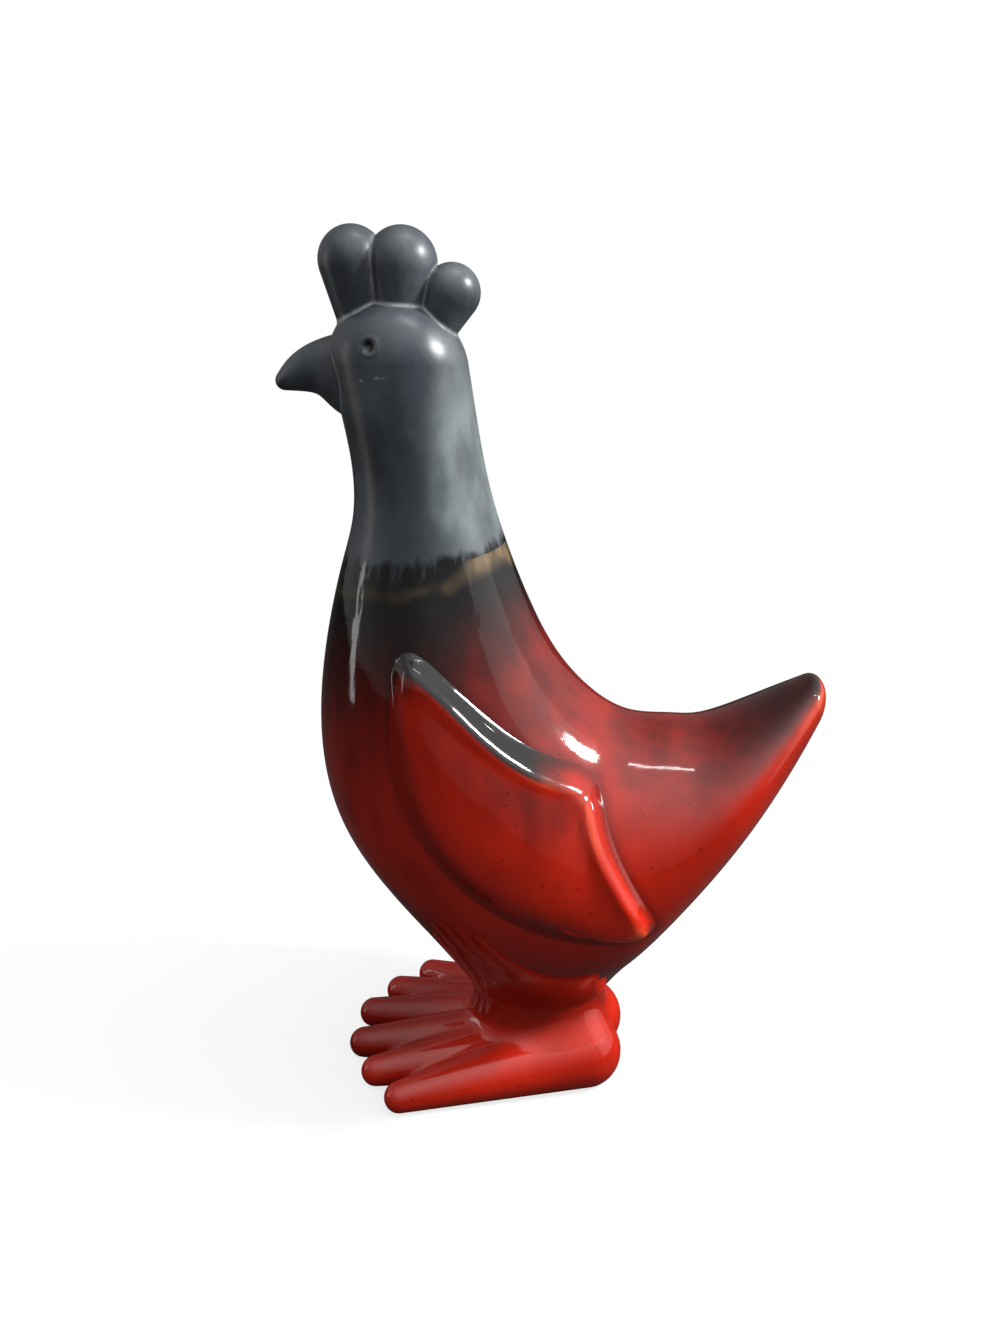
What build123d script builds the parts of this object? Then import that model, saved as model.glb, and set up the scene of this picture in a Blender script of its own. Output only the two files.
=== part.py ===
# A slip-cast, glazed ceramic rooster that stands on two three-toed feet.
# The bird faces -X, its left side is -Y, +Z is up and the soles rest on Z = 0. Millimetres.
import os
from math import cos, radians, sin
from typing import NamedTuple

from build123d import *

# Main sizes: the top of the ankle above the soles, the saddle's radius and half of the body's width
ANKLE_TOP = 52.0
SADDLE_RADIUS = 93.0
BODY_HALF_WIDTH = 55.5

# Thickness of the cast wall
WALL = 6.0

# Where an egg-shaped section is widest, from its back, as a part of its depth
EGG_SHARE = 0.45

# Reach of the handles of a round curve, and of a section's flank, as parts of their sides
ROUND = 0.5523
FLANK = 0.5
HALF_TURN = 180.0


class BodySection(NamedTuple):
    """Angle round the saddle's axis, how far its back lies outside the saddle's radius, its depth from
    back to belly, its width as a part of the body's, and how round the belly's edge is: ROUND makes
    half an ellipse and less makes a keel."""

    angle: float
    rise: float
    depth: float
    width: float
    keel: float

    @property
    def back(self):
        """Distance from the saddle's axis to the back."""
        return SADDLE_RADIUS + self.rise

    @property
    def belly(self):
        """Distance from the saddle's axis to the belly."""
        return self.back + self.depth

    @property
    def half_width(self):
        """Half of the section's width."""
        return BODY_HALF_WIDTH * self.width


TAIL_END = BodySection(296.5, -23.0, 13.0, 0.198, 0.55)
TAIL = BodySection(286.0, -20.1, 26.1, 0.423, 0.45)
TAIL_ROOT = BodySection(274.0, -13.8, 50.8, 0.685, 0.35)
RUMP = BodySection(263.0, -7.0, 92.0, 0.874, 0.27)
BELLY = BodySection(255.0, -4.5, 131.0, 0.964, 0.25)
KEEL = BodySection(246.0, 0.0, 139.0, 1.0, 0.25)
BREAST_LOW = BodySection(234.0, 0.5, 128.5, 0.991, 0.30)
BREAST = BodySection(220.0, -2.0, 117.0, 0.91, 0.38)
SHOULDER = BodySection(205.0, -4.2, 93.2, 0.748, 0.48)
NECK_JOINT = BodySection(188.0, -2.0, 64.0, 0.541, 0.55)
BODY_SECTIONS = [TAIL_END, TAIL, TAIL_ROOT, RUMP, BELLY, KEEL, BREAST_LOW, BREAST, SHOULDER, NECK_JOINT]
TAIL_ROUNDING = 4.0

# The back is a round saddle, and body sections lie on planes that fan round the saddle's axis.
# The keel would reach SEAT_DEPTH below the ankle's top, where the body is cut to sit on it.
SEAT_DEPTH = 12.4
SADDLE_X = 70.0
SADDLE_Z = ANKLE_TOP - SEAT_DEPTH - KEEL.belly * sin(radians(KEEL.angle))


def on_fan(angle, radius):
    """Place at an angle round the saddle's axis and a distance from it."""
    return SADDLE_X + radius * cos(radians(angle)), SADDLE_Z + radius * sin(radians(angle))


JOINT_X, JOINT_Z = on_fan(NECK_JOINT.angle, (NECK_JOINT.back + NECK_JOINT.belly) / 2)


class NeckSection(NamedTuple):
    """Centre of a section, from the middle of the neck's joint, half of its length and width, and how
    far its plane leans to the back."""

    shift: float
    rise: float
    half_length: float
    half_width: float
    lean: float


NECK = NeckSection(0.2, 16.6, 27.0, 26.5, 6.0)
THROAT = NeckSection(-1.6, 35.6, 24.8, 24.5, 3.0)
JAW = NeckSection(-4.6, 53.6, 25.0, 24.3, 0.0)
BROW = NeckSection(-7.2, 69.6, 25.2, 23.6, 0.0)
NECK_SECTIONS = [NECK, THROAT, JAW, BROW]
BROW_X = JOINT_X + BROW.shift
BROW_Z = JOINT_Z + BROW.rise

# The crown is a quarter ellipse above the brow, lofted at these angles
CROWN_HEIGHT = 23.0
CROWN_STEPS = [0.0, 25.0, 45.0, 60.0, 72.0, 82.0]
CROWN_Z = BROW_Z + CROWN_HEIGHT

# Eye hollows pressed into the head by a ball, from the middle of the brow and in from its sides
EYE_SHIFT = -6.5
EYE_RISE = 7.0
EYE_SET = 1.0
EYE_RADIUS = 3.6


class BeakSection(NamedTuple):
    """Place on the beak's curved spine, from the middle of the brow, and half of its height and width."""

    shift: float
    rise: float
    half_height: float
    half_width: float


BEAK_ROOT = BeakSection(-19.0, -3.5, 15.5, 13.0)
BEAK_BRIDGE = BeakSection(-31.0, -1.7, 10.6, 8.8)
BEAK_BEND = BeakSection(-39.5, -3.5, 7.2, 6.2)
BEAK_HOOK = BeakSection(-45.0, -6.4, 3.6, 3.4)
BEAK_TIP = BeakSection(-47.0, -7.7, 1.2, 1.2)
BEAK_SECTIONS = [BEAK_ROOT, BEAK_BRIDGE, BEAK_BEND, BEAK_HOOK, BEAK_TIP]


class CombLobe(NamedTuple):
    """A pear-shaped lobe: the ball at its top and the ball at its foot in the head, from the crown."""

    ball_shift: float
    ball_rise: float
    ball_radius: float
    foot_shift: float
    foot_rise: float
    foot_radius: float


FRONT_LOBE = CombLobe(-17.8, 12.8, 11.4, -14.0, -11.0, 6.8)
MIDDLE_LOBE = CombLobe(3.6, 12.0, 11.7, 0.5, -11.0, 8.5)
REAR_LOBE = CombLobe(20.9, 1.4, 9.6, 12.0, -16.0, 6.5)


class WingPoint(NamedTuple):
    """A point of the wing's outline, seen from the side: angle on the fan and depth below the back."""

    angle: float
    depth: float


# Wings: a leaf outline seen from the side, standing proud of the body
WING_THICKNESS = 8.0
WING_EDGE_RADIUS = 5.0
WING_SHOULDER_RADIUS = 9.0
WING_ELBOW_RADIUS = 7.0
WING_TIP_RADIUS = 5.5
WING_SHOULDER = WingPoint(197.7, 40.3)
WING_ELBOW = WingPoint(241.2, 13.7)
WING_TIP = WingPoint(261.2, 66.4)
WING_RIDGE = [WingPoint(207.4, 28.7), WingPoint(226.4, 20.2)]
WING_REAR = [WingPoint(246.1, 26.8), WingPoint(253.4, 42.1)]
WING_LOWER = [WingPoint(252.1, 69.4), WingPoint(237.4, 74.6), WingPoint(225.4, 70.7), WingPoint(211.3, 54.4)]
WING_CORNERS = [
    (WING_SHOULDER, WING_SHOULDER_RADIUS),
    (WING_ELBOW, WING_ELBOW_RADIUS),
    (WING_TIP, WING_TIP_RADIUS),
]

# Ankle: the body ends on it, and its waist is the narrowest place above the feet
ANKLE_X = -5.0
WAIST_DROP = 11.0
WAIST_HALF_LENGTH = 31.5
WAIST_HALF_WIDTH = 22.0
ANKLE_FOOT_Z = 25.0
ANKLE_FOOT_HALF_LENGTH = 34.0
ANKLE_FOOT_HALF_WIDTH = 25.0

# Vent through the ankle and between the soles, which lets the hollow body breathe in the kiln
VENT_DIAMETER = 12.0

# Feet: three tapering toes each, from a ball under the ankle to a round tip
TOE_TIP_RADIUS = 6.6
TOE_TIP_Z = 6.0


class Toe(NamedTuple):
    """Ball at the root of a left toe, from under the ankle, its radius, and the place of the tip's ball."""

    root_shift: float
    root_y: float
    root_z: float
    root_radius: float
    tip_shift: float
    tip_y: float


OUTER_TOE = Toe(17.0, -10.0, 15.0, 20.5, -55.5, -43.0)
MIDDLE_TOE = Toe(5.0, -8.0, 15.0, 18.0, -68.7, -28.2)
INNER_TOE = Toe(-7.0, -4.5, 14.0, 16.0, -78.0, -10.6)
TOES = [OUTER_TOE, MIDDLE_TOE, INNER_TOE]


def section_plane(x, z, angle):
    """Plane across the bird: its x axis points from the back to the front at the given angle."""
    front_x = cos(radians(angle))
    front_z = sin(radians(angle))
    return Plane(origin=(x, 0, z), x_dir=(front_x, 0, front_z), z_dir=(-front_z, 0, front_x))


def egg(plane, back_depth, front_depth, half_width, keel):
    """A closed section: half an ellipse at the back, and two curves that meet on the front's keel."""
    with BuildSketch(plane) as section:
        with BuildLine():
            EllipticalCenterArc((0, 0), back_depth, half_width, start_angle=HALF_TURN / 2, arc_size=HALF_TURN)
            flank = front_depth * FLANK
            edge = half_width * keel
            Bezier((0, -half_width), (flank, -half_width), (front_depth, -edge), (front_depth, 0))
            Bezier((front_depth, 0), (front_depth, edge), (flank, half_width), (0, half_width))
        make_face()
    return section.sketch


def body_egg(section, inset=0.0, belly_inset=0.0):
    """Egg of one body section, drawn in all round by an inset."""
    back = section.back + inset
    belly = section.belly - inset - belly_inset
    back_depth = (belly - back) * EGG_SHARE
    widest = back + back_depth
    x, z = on_fan(section.angle, widest)
    plane = section_plane(x, z, section.angle)
    return egg(plane, back_depth, belly - widest, section.half_width - inset, section.keel)


def neck_egg(section, inset=0.0, scale=1.0, rise=0.0):
    """Egg of one neck or head section, drawn in by an inset, or shrunk and raised."""
    half_length = section.half_length * scale - inset
    back_depth = 2 * half_length * EGG_SHARE
    angle = HALF_TURN + section.lean
    shift = back_depth - half_length
    x = JOINT_X + section.shift + shift * cos(radians(angle))
    z = JOINT_Z + section.rise + rise + shift * sin(radians(angle))
    plane = section_plane(x, z, angle)
    return egg(plane, back_depth, 2 * half_length - back_depth, section.half_width * scale - inset, ROUND)


def slanting_wall(index):
    """How much deeper a cut along a section plane goes than the wall, where the belly line slants."""
    before = BODY_SECTIONS[index - 1]
    after = BODY_SECTIONS[min(index + 1, len(BODY_SECTIONS) - 1)]
    turn = radians(after.angle - before.angle)
    slope = (after.belly - before.belly) / turn / BODY_SECTIONS[index].belly
    return WALL * ((1 + slope**2) ** 0.5 - 1)


def round_cone(start, end, start_radius, end_radius):
    """Half profile of the hull of two balls: two arcs and their tangent line, closed on the axis."""
    axis = Vector(*end) - Vector(*start)
    length = axis.length
    lean = (start_radius - end_radius) / length
    side = (1 - lean**2) ** 0.5
    start_touch = (start_radius * lean, start_radius * side)
    end_touch = (length + end_radius * lean, end_radius * side)
    with BuildSketch(Plane(origin=start, x_dir=axis, z_dir=axis.cross(Vector(0, 1, 0)))) as profile:
        with BuildLine():
            Line((-start_radius, 0), (length + end_radius, 0))
            RadiusArc((-start_radius, 0), start_touch, start_radius)
            Line(start_touch, end_touch)
            RadiusArc(end_touch, (length + end_radius, 0), end_radius)
        make_face()
    return profile.sketch


def axis_through(start, end):
    """Axis from one point to another."""
    return Axis(start, Vector(*end) - Vector(*start))


# The cast body in one piece, from the round tail end over the saddle to the crown
with BuildPart() as cast_body:
    for body_section in BODY_SECTIONS:
        add(body_egg(body_section))
    for neck_section in NECK_SECTIONS:
        add(neck_egg(neck_section))
    loft()
    fillet(cast_body.faces().sort_by(Axis.X)[-1].edges(), TAIL_ROUNDING)
    for step in CROWN_STEPS:
        add(neck_egg(BROW, scale=cos(radians(step)), rise=CROWN_HEIGHT * sin(radians(step))))
    loft()

# The hollow that the slip leaves: the same sections drawn in by the wall, from the tail's root up
with BuildPart() as cavity:
    for index in range(BODY_SECTIONS.index(TAIL_ROOT), len(BODY_SECTIONS)):
        add(body_egg(BODY_SECTIONS[index], inset=WALL, belly_inset=slanting_wall(index)))
    for neck_section in NECK_SECTIONS:
        add(neck_egg(neck_section, inset=WALL))
    loft()

# The neck plane faces the tail
neck_plane = section_plane(SADDLE_X, SADDLE_Z, NECK_JOINT.angle)

with BuildPart() as torso:
    add(cast_body.part)
    split(bisect_by=neck_plane, keep=Keep.TOP)
    split(bisect_by=Plane.XY.offset(ANKLE_TOP), keep=Keep.TOP)
    ankle_seat = torso.faces().filter_by(Axis.Z).sort_by(Axis.Z)[0].bounding_box()
    add(cavity.part, mode=Mode.SUBTRACT)

with BuildPart() as head_and_neck:
    add(cast_body.part)
    split(bisect_by=neck_plane, keep=Keep.BOTTOM)
    add(cavity.part, mode=Mode.SUBTRACT)
    eye_y = BROW.half_width - EYE_SET
    with Locations((BROW_X + EYE_SHIFT, 0, BROW_Z + EYE_RISE)):
        with Locations((0, -eye_y, 0), (0, eye_y, 0)):
            Sphere(EYE_RADIUS, mode=Mode.SUBTRACT)

with BuildPart() as beak:
    for section in BEAK_SECTIONS:
        place = (BROW_X + section.shift, 0, BROW_Z + section.rise)
        with BuildSketch(Plane(origin=place, x_dir=(0, 1, 0), z_dir=(-1, 0, 0))):
            Ellipse(section.half_width, section.half_height)
    loft()
    add(cast_body.part, mode=Mode.SUBTRACT)


def pear(lobe):
    """Half profile of a comb lobe and the axis that it turns on."""
    ball = (BROW_X + lobe.ball_shift, 0, CROWN_Z + lobe.ball_rise)
    foot = (BROW_X + lobe.foot_shift, 0, CROWN_Z + lobe.foot_rise)
    return round_cone(ball, foot, lobe.ball_radius, lobe.foot_radius), axis_through(ball, foot)


# The lobes sit on the crown, and the outer two are pressed against the middle one
with BuildPart() as comb_middle_lobe:
    profile, axis = pear(MIDDLE_LOBE)
    revolve(profile, axis=axis)
    add(cast_body.part, mode=Mode.SUBTRACT)

with BuildPart() as comb_front_lobe:
    profile, axis = pear(FRONT_LOBE)
    revolve(profile, axis=axis)
    add(cast_body.part, mode=Mode.SUBTRACT)
    add(comb_middle_lobe.part, mode=Mode.SUBTRACT)

with BuildPart() as comb_rear_lobe:
    profile, axis = pear(REAR_LOBE)
    revolve(profile, axis=axis)
    add(cast_body.part, mode=Mode.SUBTRACT)
    add(comb_middle_lobe.part, mode=Mode.SUBTRACT)

# The wings' outer skin is the body grown by their thickness
with BuildPart() as wing_skin:
    for body_section in BODY_SECTIONS:
        add(body_egg(body_section, inset=-WING_THICKNESS))
    loft()


def wing_places(*points):
    """Places of some of the wing outline's points, seen from the side."""
    return [on_fan(point.angle, SADDLE_RADIUS + point.depth) for point in points]


with BuildPart() as left_wing:
    with BuildSketch(Plane.XZ):
        with BuildLine():
            Spline(*wing_places(WING_SHOULDER, *WING_RIDGE, WING_ELBOW))
            Spline(*wing_places(WING_ELBOW, *WING_REAR, WING_TIP))
            Spline(*wing_places(WING_TIP, *WING_LOWER, WING_SHOULDER))
        make_face()
    extrude(amount=KEEL.half_width + 2 * WING_THICKNESS)
    for point, radius in WING_CORNERS:
        corner_x, corner_z = wing_places(point)[0]
        corner = left_wing.edges().filter_by(Axis.Y).sort_by_distance((corner_x, 0, corner_z))[0]
        fillet(corner, radius)
    add(wing_skin.part, mode=Mode.INTERSECT)
    fillet(left_wing.edges(Select.NEW), WING_EDGE_RADIUS)
    add(cast_body.part, mode=Mode.SUBTRACT)

with BuildPart() as right_wing:
    mirror(left_wing.part, about=Plane.XZ)

with BuildPart() as left_foot:
    for toe in TOES:
        root = (ANKLE_X + toe.root_shift, toe.root_y, toe.root_z)
        tip = (ANKLE_X + toe.tip_shift, toe.tip_y, TOE_TIP_Z)
        revolve(round_cone(root, tip, toe.root_radius, TOE_TIP_RADIUS), axis=axis_through(root, tip))
    split(bisect_by=Plane.XY, keep=Keep.TOP)
    split(bisect_by=Plane.XZ, keep=Keep.TOP)
    with Locations((ANKLE_X, 0, 0)):
        Cylinder(VENT_DIAMETER / 2, 2 * ANKLE_TOP, mode=Mode.SUBTRACT)

with BuildPart() as right_foot:
    mirror(left_foot.part, about=Plane.XZ)

# The ankle's top takes the outline of the body's cut end
with BuildPart() as leg_stem:
    with BuildSketch(Plane(origin=(ankle_seat.center().X, 0, ANKLE_TOP))):
        Ellipse(ankle_seat.size.X / 2, ankle_seat.size.Y / 2)
    with BuildSketch(Plane(origin=(ANKLE_X, 0, ANKLE_TOP - WAIST_DROP))):
        Ellipse(WAIST_HALF_LENGTH, WAIST_HALF_WIDTH)
    with BuildSketch(Plane(origin=(ANKLE_X, 0, ANKLE_FOOT_Z))):
        Ellipse(ANKLE_FOOT_HALF_LENGTH, ANKLE_FOOT_HALF_WIDTH)
    loft()
    add(left_foot.part, mode=Mode.SUBTRACT)
    add(right_foot.part, mode=Mode.SUBTRACT)
    with Locations((ANKLE_X, 0, 0)):
        Cylinder(VENT_DIAMETER / 2, 3 * ANKLE_TOP, mode=Mode.SUBTRACT)

pieces = {
    "torso": torso,
    "head_and_neck": head_and_neck,
    "beak": beak,
    "comb_front_lobe": comb_front_lobe,
    "comb_middle_lobe": comb_middle_lobe,
    "comb_rear_lobe": comb_rear_lobe,
    "left_wing": left_wing,
    "right_wing": right_wing,
    "leg_stem": leg_stem,
    "left_foot": left_foot,
    "right_foot": right_foot,
}
os.makedirs("parts", exist_ok=True)
for name, piece in pieces.items():
    piece.part.label = name
    export_step(piece.part, f"parts/{name}.step")
    print(name, "valid" if piece.part.is_valid else "not valid", f"{piece.part.volume / 1000:.1f} cm3")
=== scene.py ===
# %% [markdown]
# # A glazed ceramic rooster
#
# The bird is slip-cast clay: a hollow body with solid wings, feet, beak and comb luted on, dipped in a
# satin dark glaze at the head and a glossy red one below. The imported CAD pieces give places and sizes.
# Here every piece is drawn again as a smooth surface over a grid of two parameters, with the soft
# creases, drips and rolled edges that clay and glaze have.
#
# The bird faces -X, its left side is -Y and the soles stand on Z = 0. Shapes are worked out in
# millimetres and scaled to metres when a mesh is made.

import bpy
import numpy as np
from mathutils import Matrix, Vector


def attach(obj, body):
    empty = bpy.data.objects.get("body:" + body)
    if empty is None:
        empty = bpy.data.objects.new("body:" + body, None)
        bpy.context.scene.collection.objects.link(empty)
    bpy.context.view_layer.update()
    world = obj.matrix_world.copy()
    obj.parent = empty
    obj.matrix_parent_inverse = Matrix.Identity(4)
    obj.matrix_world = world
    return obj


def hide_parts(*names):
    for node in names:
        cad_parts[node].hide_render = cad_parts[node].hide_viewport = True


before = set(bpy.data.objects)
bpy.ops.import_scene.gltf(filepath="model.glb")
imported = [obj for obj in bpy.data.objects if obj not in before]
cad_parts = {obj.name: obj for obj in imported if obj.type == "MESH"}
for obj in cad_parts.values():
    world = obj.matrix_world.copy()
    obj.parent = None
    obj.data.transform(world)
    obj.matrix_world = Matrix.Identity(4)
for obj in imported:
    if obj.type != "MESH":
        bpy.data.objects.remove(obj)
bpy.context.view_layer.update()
MM = 0.001
print("CAD nodes:", sorted(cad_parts))

# %% [markdown]
# ## Meshes from grids
#
# A piece is a grid of points: rows run along it and columns go round it. The columns are joined to a
# closed tube, and one extra point closes each end, so every piece is watertight. Blender users often
# start from a sphere and push points about; a grid from formulas keeps every size exact instead.


# %% Grid to mesh
def grid_faces(rows, columns):
    """Quads between neighbouring rows and columns, and a fan of triangles to a pole at each end."""
    row, column = np.mgrid[0 : rows - 1, 0:columns]
    after = (column + 1) % columns
    corners = [row * columns + column, row * columns + after]
    corners += [(row + 1) * columns + after, (row + 1) * columns + column]
    quads = np.stack(corners, -1).reshape(-1, 4)
    ring = np.arange(columns)
    turned = (ring + 1) % columns
    first = np.full(columns, rows * columns)
    last = (rows - 1) * columns
    top = np.stack([first, turned, ring], -1)
    bottom = np.stack([first + 1, last + ring, last + turned], -1)
    return quads, np.concatenate([top, bottom])


def signed_volume(points, triangles):
    """Volume inside a closed mesh, from the tetrahedra between the origin and its triangles."""
    a, b, c = (points[triangles[:, i]] for i in range(3))
    return np.einsum("ij,ij->", a, np.cross(b, c)) / 6


def clay_piece(name, grid, material, marks):
    """Makes a piece from a grid of points in millimetres, with a value per point for each mark."""
    rows, columns = grid.shape[:2]
    points = np.concatenate([grid.reshape(-1, 3), grid[:1].mean(1), grid[-1:].mean(1)])
    quads, triangles = grid_faces(rows, columns)
    all_triangles = np.concatenate([quads[:, [0, 1, 2]], quads[:, [0, 2, 3]], triangles])
    if signed_volume(points, all_triangles) < 0:
        quads, triangles = quads[:, ::-1], triangles[:, ::-1]
    mesh = bpy.data.meshes.new(name)
    mesh.from_pydata((points * MM).tolist(), [], quads.tolist() + triangles.tolist())
    for mark, values in marks.items():
        per_point = np.concatenate([values.ravel(), values[:1].mean(1), values[-1:].mean(1)])
        layer = mesh.attributes.new(mark, "FLOAT", "POINT")
        layer.data.foreach_set("value", per_point.astype(np.float32))
    mesh.shade_smooth()
    mesh.materials.append(material)
    piece = bpy.data.objects.new(name, mesh)
    bpy.context.collection.objects.link(piece)
    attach(piece, "root")
    print(name, len(points), "points")
    return piece


print("a grid of 3 rows and 4 columns has", len(grid_faces(3, 4)[0]), "quads")


# %% [markdown]
# ## Curves and blends
#
# Three small tools shape everything: a cubic spline through a few values, a smooth step, and a smooth
# minimum that joins two distances with a soft fillet, as a wet sponge leaves on a joint in clay.


# %% Curves and blends
def spline(knots, values, at):
    """Natural cubic spline: each stretch is a cubic, and slope and bend run on through every knot."""
    gaps = np.diff(knots)
    slopes = np.diff(values, axis=0) / gaps[:, None]
    count = len(knots)
    system = np.eye(count)
    bends = np.zeros_like(values)
    inner = np.arange(1, count - 1)
    system[inner, inner - 1] = gaps[:-1]
    system[inner, inner] = 2 * (gaps[:-1] + gaps[1:])
    system[inner, inner + 1] = gaps[1:]
    bends[1:-1] = 6 * np.diff(slopes, axis=0)
    bends = np.linalg.solve(system, bends)
    index = np.clip(np.searchsorted(knots, at) - 1, 0, count - 2)
    gap = gaps[index][..., None]
    right = (at - knots[index])[..., None] / gap
    left = 1 - right
    curved = (left**3 - left) * bends[index] + (right**3 - right) * bends[index + 1]
    return left * values[index] + right * values[index + 1] + curved * gap**2 / 6


def step(low, high, value):
    """Goes smoothly from 0 at low to 1 at high."""
    part = np.clip((value - low) / (high - low), 0, 1)
    return part * part * (3 - 2 * part)


def soft_min(a, b, reach):
    """The smaller of two distances, rounded off where they differ by less than reach."""
    near = np.maximum(reach - np.abs(a - b), 0) / reach
    return np.minimum(a, b) - near**2 * reach / 4


def blur_ring(values, columns):
    """Averages a ring of values over a bell curve some columns wide."""
    count = len(values)
    offset = np.minimum(np.arange(count), count - np.arange(count))
    bell = np.exp(-0.5 * (offset / columns) ** 2)
    weights = np.fft.rfft(bell / bell.sum())
    return np.fft.irfft(np.fft.rfft(values, axis=0).T * weights, n=count).T


print("halfway a step is", step(0.0, 1.0, 0.5), "and two distances of 1 join to", soft_min(1.0, 1.0, 0.4))


# %% [markdown]
# ## The body's surface
#
# The back is a round saddle between neck and tail, so the body's sections stand on planes that fan
# round the saddle's axis. A section is an egg: half an ellipse at the back, and two curves that meet
# on a keel in front. Its back point, front point, width and keel are splines along the bird, which
# gives one smooth skin from the tail to the brow, without a visible seam between sections.

# %% Body sections
SADDLE_X = 70.0
SADDLE_Z = 251.54
SADDLE_RADIUS = 93.0
BODY_HALF_WIDTH = 55.5
# Share of a section's depth that lies behind its widest place
EGG_SHARE = 0.45
# Handle of a cubic curve that makes a quarter of a circle, and the flatter one on the flank in front
ROUND = 0.5523
FLANK = 0.5
# Angle on the fan, back outside the saddle's radius, depth, share of the width, roundness of the keel
BODY_SECTIONS = np.array([
    (296.5, -23.0, 13.0, 0.198, 0.55),
    (286.0, -20.1, 26.1, 0.423, 0.45),
    (274.0, -13.8, 50.8, 0.685, 0.35),
    (263.0, -7.0, 92.0, 0.874, 0.27),
    (255.0, -4.5, 131.0, 0.964, 0.25),
    (246.0, 0.0, 139.0, 1.0, 0.25),
    (234.0, 0.5, 128.5, 0.991, 0.30),
    (220.0, -2.0, 117.0, 0.91, 0.38),
    (205.0, -4.2, 93.2, 0.748, 0.48),
    (188.0, -2.0, 64.0, 0.541, 0.55),
])
JOINT_ROW = len(BODY_SECTIONS) - 1
JOINT_X = -51.8
JOINT_Z = 234.4
# The plane of the neck's joint rises toward the back by this angle
JOINT_LEAN = np.radians(8.0)
# Centre from the middle of the neck's joint, half length, half width and lean to the back
NECK_SECTIONS = np.array([
    (0.2, 16.6, 27.0, 26.5, 6.0),
    (-1.6, 35.6, 24.8, 24.5, 3.0),
    (-4.6, 53.6, 25.0, 24.3, 0.0),
    (-7.2, 69.6, 25.2, 23.6, 0.0),
])
BROW_X = JOINT_X - 7.2
BROW_Z = JOINT_Z + 69.6
BROW_HALF_LENGTH = 25.2
BROW_HALF_WIDTH = 23.6
CROWN_HEIGHT = 23.0
CROWN_Z = BROW_Z + CROWN_HEIGHT


def section_rows():
    """One row per section: back x, z, front x, z, half width, keel and flank."""
    angle, rise, depth, width, keel = BODY_SECTIONS.T
    turn = np.radians(angle)
    back = SADDLE_RADIUS + rise
    front = back + depth
    body = [SADDLE_X + back * np.cos(turn), SADDLE_Z + back * np.sin(turn)]
    body += [SADDLE_X + front * np.cos(turn), SADDLE_Z + front * np.sin(turn)]
    body += [width * BODY_HALF_WIDTH, keel, np.full_like(keel, FLANK)]
    shift, lift, half_length, half_width, lean = NECK_SECTIONS.T
    tilt = np.radians(lean)
    x = JOINT_X + shift
    z = JOINT_Z + lift
    neck = [x + half_length * np.cos(tilt), z + half_length * np.sin(tilt)]
    neck += [x - half_length * np.cos(tilt), z - half_length * np.sin(tilt)]
    neck += [half_width, np.full_like(lean, ROUND), np.full_like(lean, ROUND)]
    return np.concatenate([np.stack(body, -1), np.stack(neck, -1)])


SECTIONS = section_rows()
middles = (SECTIONS[:, 0:2] + SECTIONS[:, 2:4]) / 2
KNOTS = np.append(0, np.cumsum(np.linalg.norm(np.diff(middles, axis=0), axis=1) ** 0.8))
JOINT_T = KNOTS[JOINT_ROW]
BROW_T = KNOTS[-1]
# Torso and head lap at the joint, and each sinks by this share of its radius inside the other
LAP_T = JOINT_T - 0.3
LAP_LENGTH = 3.0
LAP_SINK = 0.012
print("knots", KNOTS.round(1))


# %% Skin of the body
def egg(rows, turn):
    """Point on an egg section: turn goes 0 at the back, 1 on the left side, 2 at the keel, 3 right."""
    near = np.minimum(turn, 4 - turn)
    in_front = near > 1
    part = np.where(in_front, near - 1, 1 - near)
    flank = np.where(in_front, rows[..., 6], ROUND)
    edge = np.where(in_front, rows[..., 5], ROUND)
    rest = 1 - part
    along = 3 * rest**2 * part * flank + 3 * rest * part**2 + part**3
    across = rest**3 + 3 * rest**2 * part + 3 * rest * part**2 * edge
    share = np.where(in_front, EGG_SHARE + (1 - EGG_SHARE) * along, EGG_SHARE * (1 - along))
    x = rows[..., 0] + (rows[..., 2] - rows[..., 0]) * share
    z = rows[..., 1] + (rows[..., 3] - rows[..., 1]) * share
    y = np.where(turn < 2, -1.0, 1.0) * rows[..., 4] * across
    return np.stack(np.broadcast_arrays(x, y, z), -1)


def body_point(along, turn):
    """Point of the body's skin at a place along the bird and a turn round it."""
    along, turn = np.broadcast_arrays(along, turn)
    return egg(spline(KNOTS, SECTIONS, along), turn)


def body_normal(along, turn):
    """Unit normal of the body's skin, pointing out, from small steps both ways."""
    small = 1e-3
    by_along = body_point(along + small, turn) - body_point(along - small, turn)
    by_turn = body_point(along, turn + small) - body_point(along, turn - small)
    normal = np.cross(by_turn, by_along)
    return normal / np.linalg.norm(normal, axis=-1, keepdims=True)


print("back of the neck's joint at", body_point(np.array([JOINT_T]), 0.0)[0].round(1))

# %% Landing on the skin
# A coarse net of the left side, to start Newton's method near its answer
net_along, net_turn = np.meshgrid(np.linspace(0, BROW_T, 120), np.linspace(0.05, 1.95, 60), indexing="ij")
net_points = body_point(net_along, net_turn)


def nearest_start(measure, target):
    """Place and turn of the net's point that measures nearest to each target."""
    values = measure(net_points).reshape(-1, 2)
    flat = target.reshape(-1, 2)
    found = np.concatenate([
        np.argmin(((part[:, None] - values[None]) ** 2).sum(-1), 1)
        for part in np.array_split(flat, 1 + len(flat) // 2000)
    ])
    shape = target.shape[:-1]
    return net_along.ravel()[found].reshape(shape), net_turn.ravel()[found].reshape(shape)


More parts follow.
